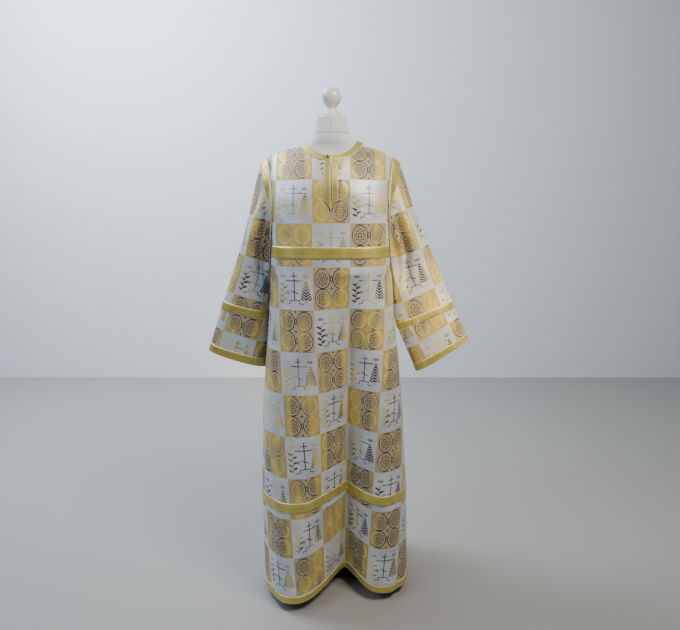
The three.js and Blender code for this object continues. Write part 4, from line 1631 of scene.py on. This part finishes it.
@dataclass(frozen=True)
class GalloonFinish:
    """A woven gold band: a chain of lozenges on a herringbone, between scalloped edges of white yarn.

    The herringbone's flanks are painted lit and shaded by turns, with slow patches of painted sheen, which
    gives the band its ribbed sparkle.

    Attributes:
        width: the band's width in millimetres.
        light: colour of a herringbone flank that faces the light; dark is that of the other.
        line: colour of the lozenges and of the lines beside the edges.
        picot: colour of the scalloped edge.
    """

    width: float
    light: str = "#EEDD74"
    dark: str = "#7C6D22"
    line: str = "#6F5A1E"
    picot: str = "#F3F1EA"

    def build(self) -> bpy.types.Material:
        """Makes the material.

        Returns:
            The material, on a node tree of its own.
        """
        material, graph, shader = new_material(f"gold galloon {self.width:.0f} mm")
        along, across = graph.cloth_place()
        middle = abs(across - self.width / 2)
        edge = self.width / 2 - middle
        herringbone = (along + across * 0.9).wave(6.4) * 0.5 + 0.5
        cell = along / 11.2
        place = abs(cell - cell.floor() - 0.5) * 11.2
        lozenge = (abs(place + middle * 0.9 - 4.0) - 0.7).inside(0.6)
        scallop = (edge - 0.8 - along.wave(6.4) * 1.7).inside(0.5)
        lines = (abs(edge - 4.0) - 0.4).inside(0.5)
        # Painted highlight and shade: the flanks take the lit and the shaded gold by turns, and slow noise
        # patches shift the band between the two.
        painted_sheen_patches = graph.noise(34, 1.0)
        gold = graph.blend(herringbone * 0.9 + painted_sheen_patches * 0.8 - 0.55, linear(self.light), linear(self.dark))
        gold = graph.blend(lines.high(lozenge) * 0.5, gold, linear(self.line))
        colour = graph.blend(scallop, gold, linear(self.picot))
        height = herringbone * 0.5 + scallop * 0.6 - lines * 0.4
        graph.fill(shader, {
            "Base Color": colour,
            "Metallic": (1.0 - scallop) * 0.45,
            "Roughness": 0.4,
            "Normal": graph.relief(height, 0.5, 0.6),
        })
        return material


@dataclass(frozen=True)
class JerseyFinish:
    """A pale matt knit, with the dark thread of a seam round the neck and one up its front.

    Attributes:
        seam: height of the seam round the neck in millimetres.
        knit: colour of the knit.
        thread: colour of the seams.
    """

    seam: float = 1479.0
    knit: str = "#DFE5E6"
    thread: str = "#7E8486"

    def build(self) -> bpy.types.Material:
        """Makes the material.

        Returns:
            The material, on a node tree of its own.
        """
        material, graph, shader = new_material("pale knit cover")
        place = graph.add("SeparateXYZ", {0: graph.add("TexCoord").outputs["Object"]})
        x, y, z = (Value(graph, place.outputs[k]) * 1000.0 for k in range(3))
        upright = (abs(x + 2.0) - 0.4).high(self.seam - z).high(y)
        sewn = (abs(z - self.seam) - 0.8).low(upright).inside(0.8)
        graph.fill(shader, {
            "Base Color": graph.blend(sewn, linear(self.knit), linear(self.thread)),
            "Roughness": 0.9,
            "Normal": graph.relief(graph.noise(1.6) - sewn * 2.0, 0.4, 0.6),
        })
        return material


@dataclass(frozen=True)
class PlainFinish:
    """One even colour: smooth lacquer, dull steel, bright gilt or matt paint, by its roughness and coat.

    Attributes:
        name: the material's name.
        colour: its colour.
        roughness: from 0, a mirror, to 1, matt.
        metallic: 1 for bare metal.
        coat: share of a clear gloss coat.
    """

    name: str
    colour: str
    roughness: float
    metallic: float = 0.0
    coat: float = 0.0

    def build(self) -> bpy.types.Material:
        """Makes the material.

        Returns:
            The material, on a node tree of its own.
        """
        material, graph, shader = new_material(self.name)
        graph.fill(shader, {
            "Base Color": linear(self.colour),
            "Roughness": self.roughness,
            "Metallic": self.metallic,
            "Coat Weight": self.coat,
        })
        return material


# ---- Stage ----


@dataclass(frozen=True)
class Lamp:
    """A square soft light.

    Attributes:
        name: its name.
        place: where it stands, in metres.
        aim: the point that it looks at.
        size: length of its side.
        power: its power in watts.
        colour: its colour.
        spread: the angle of its beam in degrees.
    """

    name: str
    place: tuple[float, float, float]
    aim: tuple[float, float, float]
    size: float
    power: float
    colour: str
    spread: float = 180.0

    def build(self) -> None:
        """Adds the light."""
        data = bpy.data.lights.new(self.name, "AREA")
        data.size, data.energy, data.color = self.size, self.power, linear(self.colour)[:3]
        data.spread = math.radians(self.spread)
        light = bpy.data.objects.new(self.name, data)
        light.location = self.place
        light.rotation_mode = "QUATERNION"
        light.rotation_quaternion = (Vector(self.aim) - Vector(self.place)).to_track_quat("-Z", "Y")
        bpy.context.scene.collection.objects.link(light)


@dataclass(frozen=True)
class Studio:
    """A pale floor and wall, soft light and the camera.

    Attributes:
        focal_px: the lens's focal length in pixels of an image of image_width.
        camera: the camera's place in metres.
        pitch: how far down it looks, in degrees.
        wall_y: distance of the wall behind the pole.
        room: half width, nearest and furthest y of the floor.
        ambient: colour and strength of the light from all round.
    """

    focal_px: float = 600.0
    image_width: int = 680
    camera: tuple[float, float, float] = (0.026, -1.916, 1.285)
    pitch: float = 11.02
    wall_y: float = 2.3
    room: tuple[float, float, float] = (9.0, -6.0, 9.0)
    ambient: tuple[str, float] = ("#DDE4F0", 0.105)

    SENSOR = 36.0

    def lamps(self) -> tuple[Lamp, ...]:
        """The lights: the main one, a window, a narrow one on the wearer's left sleeve, and one on the wall.

        Returns:
            The lights, in the order in which they are added.
        """
        return (
            Lamp("key", (1.0, -1.1, 2.55), (0.05, 0.0, 1.75), 0.8, 48, "#FFF5E6"),
            Lamp("window", (-2.0, -1.3, 2.5), (0.0, 0.0, 1.7), 1.4, 27, "#D6E5FF"),
            Lamp("sleeve lamp", (1.05, -1.3, 1.75), (0.44, 0.0, 1.04), 0.4, 1.1, "#FFE9B0", spread=22),
            Lamp("wall wash", (-1.6, 0.7, 3.0), (-0.6, self.wall_y, 1.5), 1.6, 150, "#DEECFF"),
        )

    def build(self) -> None:
        """Makes the floor, the wall, the lights, the light from all round and the camera."""
        half, near, far = self.room
        corners = np.array([[-half, near], [half, near], [half, far], [-half, far]])
        floor = mesh_object("floor", np.pad(corners, ((0, 0), (0, 1))), np.array([[0, 1, 2, 3]]))
        upright = np.stack([corners[:, 0], np.full(4, self.wall_y), (corners[:, 1] - near) / 2], axis=1)
        wall = mesh_object("wall", upright, np.array([[0, 1, 2, 3]]))
        for plane, colour in ((floor, "#A8A6A0"), (wall, "#E9EDEF")):
            plane.data.materials.append(PlainFinish(f"matt {plane.name} paint", colour, 0.8).build())
        for lamp in self.lamps():
            lamp.build()
        self.light_room()
        self.place_camera()

    def light_room(self) -> None:
        """Gives the world its even light."""
        world = bpy.data.worlds.new("soft room")
        world.use_nodes = True
        colour, strength = self.ambient
        background = world.node_tree.nodes["Background"]
        Graph(world.node_tree).fill(background, {"Color": linear(colour), "Strength": strength})
        bpy.context.scene.world = world

    def place_camera(self) -> None:
        """Adds the camera, level from side to side."""
        data = bpy.data.cameras.new("camera")
        data.sensor_width, data.lens = self.SENSOR, self.SENSOR * self.focal_px / self.image_width
        camera = bpy.data.objects.new("camera", data)
        camera.location = self.camera
        camera.rotation_euler = (math.radians(90 - self.pitch), 0, 0)
        bpy.context.scene.collection.objects.link(camera)
        bpy.context.scene.camera = camera


# ---- The whole object ----


@dataclass
class Sticharion:
    form: RobeForm = field(default_factory=RobeForm)

    def __post_init__(self) -> None:
        """Makes the finishes that the pieces share."""
        self.brocade = BrocadeFinish(row_start=1084.0).build()
        self.sleeve_brocade = BrocadeFinish(row_start=85.0).build()
        self.galloons: dict[float, bpy.types.Material] = {}

    def place(self, piece: bpy.types.Object, node: str, slot: str, material: bpy.types.Material) -> None:
        """Gives a piece its material, hides the CAD node that it stands for and attaches the piece to the
        root.

        Args:
            piece: the mesh object.
            node: the CAD node.
            slot: not used.
            material: its finish.
        """
        piece.data.materials.append(material)
        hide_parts(node)
        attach(piece, "root")
        log.info("%s: %d faces", piece.name, len(piece.data.polygons))

    def declare(self, shell: Shell) -> None:
        """Works out the area of a piece's cut, which is not kept.

        The area is the sum over the grid's cells of the length of the cross product of a cell's two sides.

        Args:
            shell: the wall that it was built from.
        """
        across = np.concatenate([shell.points, shell.points[:, :1]], axis=1) if shell.wrap else shell.points
        sides = np.diff(across, axis=1)[:-1], np.diff(across, axis=0)[:, :-1]
        cell = np.linalg.norm(np.cross(*sides), axis=2)
        kept = np.ones_like(cell) if shell.open_cells is None else ~shell.open_cells
        area = float((cell * kept).sum()) * MM * MM

    def galloon(self, shell: Shell, node: str) -> None:
        """Builds a band from its shell.

        Args:
            shell: the band's wall.
            node: the CAD node.
        """
        width = round(float(shell.uv[..., 1].max()))
        if width not in self.galloons:
            self.galloons[width] = GalloonFinish(width).build()
        piece = shell.build(f"{node}_galloon")
        self.place(piece, node, "band", self.galloons[width])
        self.declare(shell)

    def cloth(self, shell: Shell, node: str, material: bpy.types.Material) -> None:
        """Builds a brocade piece from its shell.

        Args:
            shell: the piece's wall.
            node: the CAD node.
            material: its brocade.
        """
        piece = shell.build(f"{node}_brocade")
        self.place(piece, node, "brocade", material)
        self.declare(shell)

    def build(self) -> None:
        """Builds the form and its stand, then the robe over it."""
        self.build_form()
        front = Panel(self.form, Face.FRONT, True, 12)
        back = Panel(self.form, Face.BACK, False, 10)
        self.build_body(front, back)
        self.build_neckline()
        self.build_sleeves(front, back)

    def build_form(self) -> None:
        """Builds the torso and the finial, and paints the stand's own solids."""
        torso = DressForm()
        self.place(torso.torso(), "form_torso", "jersey", JerseyFinish().build())
        lacquer = PlainFinish("gloss lacquer", "#E6DCD6", 0.22, coat=0.6).build()
        self.place(torso.finial(), "finial", "lacquer", lacquer)
        steel = PlainFinish("satin black steel", "#1D1D1F", 0.45, metallic=0.6).build()
        for name in ("base", "socket", "pole"):
            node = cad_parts[name]
            node.data.materials.clear()
            node.data.materials.append(steel)

    def build_body(self, front: Panel, back: Panel) -> None:
        """Builds the two panels with the bands across them; the chest's stops four guide columns short.

        Args:
            front: the front panel.
            back: the back panel.
        """
        f = self.form
        for name, panel in (("front", front), ("back", back)):
            self.cloth(panel.shell(), f"{name}_panel", self.brocade)
        self.galloon(front.band(*f.chest_band, inset=4 * front.per_guide), "chest_band")
        for name, panel in (("front", front), ("back", back)):
            self.galloon(panel.band(*f.knee_band), f"{name}_knee_band")
            self.galloon(panel.band(f.hem, f.hem_band), f"{name}_hem_band")

    def build_neckline(self) -> None:
        """Builds the bands round the neck and down the slit, and the button."""
        neck = Neckline(self.form)
        quarter, slit = np.pi / 2, neck.slit_turn
        self.galloon(neck.strip(Face.FRONT, -quarter, -slit, 60), "neck_band_right")
        self.galloon(neck.strip(Face.FRONT, slit, quarter, 60), "neck_band_left")
        self.galloon(neck.strip(Face.BACK, -quarter, quarter, 110), "neck_band_back")
        for name, hand in (("right", -1), ("left", 1)):
            self.galloon(neck.placket_band(hand), f"placket_{name}")
        gilt = PlainFinish("polished gilt", "#DDBE4C", 0.2, metallic=1.0).build()
        self.place(neck.button(), "button", "gilt", gilt)

    def build_sleeves(self, front: Panel, back: Panel) -> None:
        """Sets the sleeves into the armholes and builds their bands.

        Args:
            front: the front panel.
            back: the back panel.
        """
        for sleeve in self.sleeves():
            sleeve.fit(front, back)
            node = f"sleeve_{sleeve.name}"
            self.cloth(sleeve.shell(), node, self.sleeve_brocade)
            for what in Sleeve.BANDS:
                self.galloon(sleeve.band(what), f"{what}_band_{sleeve.name}")

    def sleeves(self) -> list[Sleeve]:
        """The two sleeves by their measured edges.

        Returns:
            The wearer's right and left sleeve.
        """
        right = Sleeve(
            "right", -1,
            upper=((195, 1409), (219, 1383), (256, 1256), (293, 1127), (350, 967), (408, 793)),
            lower=((193, 1060), (198, 1049), (201, 1022), (202, 986), (206, 930), (222, 736)),
            depth=(66, 62, 56, 52, 49, 48),
            set_back=(0, 4, 10, 16, 22, 26),
        )
        left = Sleeve(
            "left", 1,
            upper=((188, 1409), (211, 1384), (261, 1244), (313, 1127), (384, 967), (447, 832)),
            lower=((186, 1060), (191, 1049), (196, 1014), (200, 966), (208, 893), (280, 722)),
            depth=(66, 60, 52, 46, 40, 37),
            set_back=(0, 4, 8, 12, 14, 14),
        )
        return [right, left]


def main() -> None:
    """Builds the object and its stage."""
    logging.basicConfig(level=logging.INFO, format="%(name)s: %(message)s")
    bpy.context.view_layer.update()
    Sticharion().build()
    Studio().build()


if __name__ == "__main__":
    main()
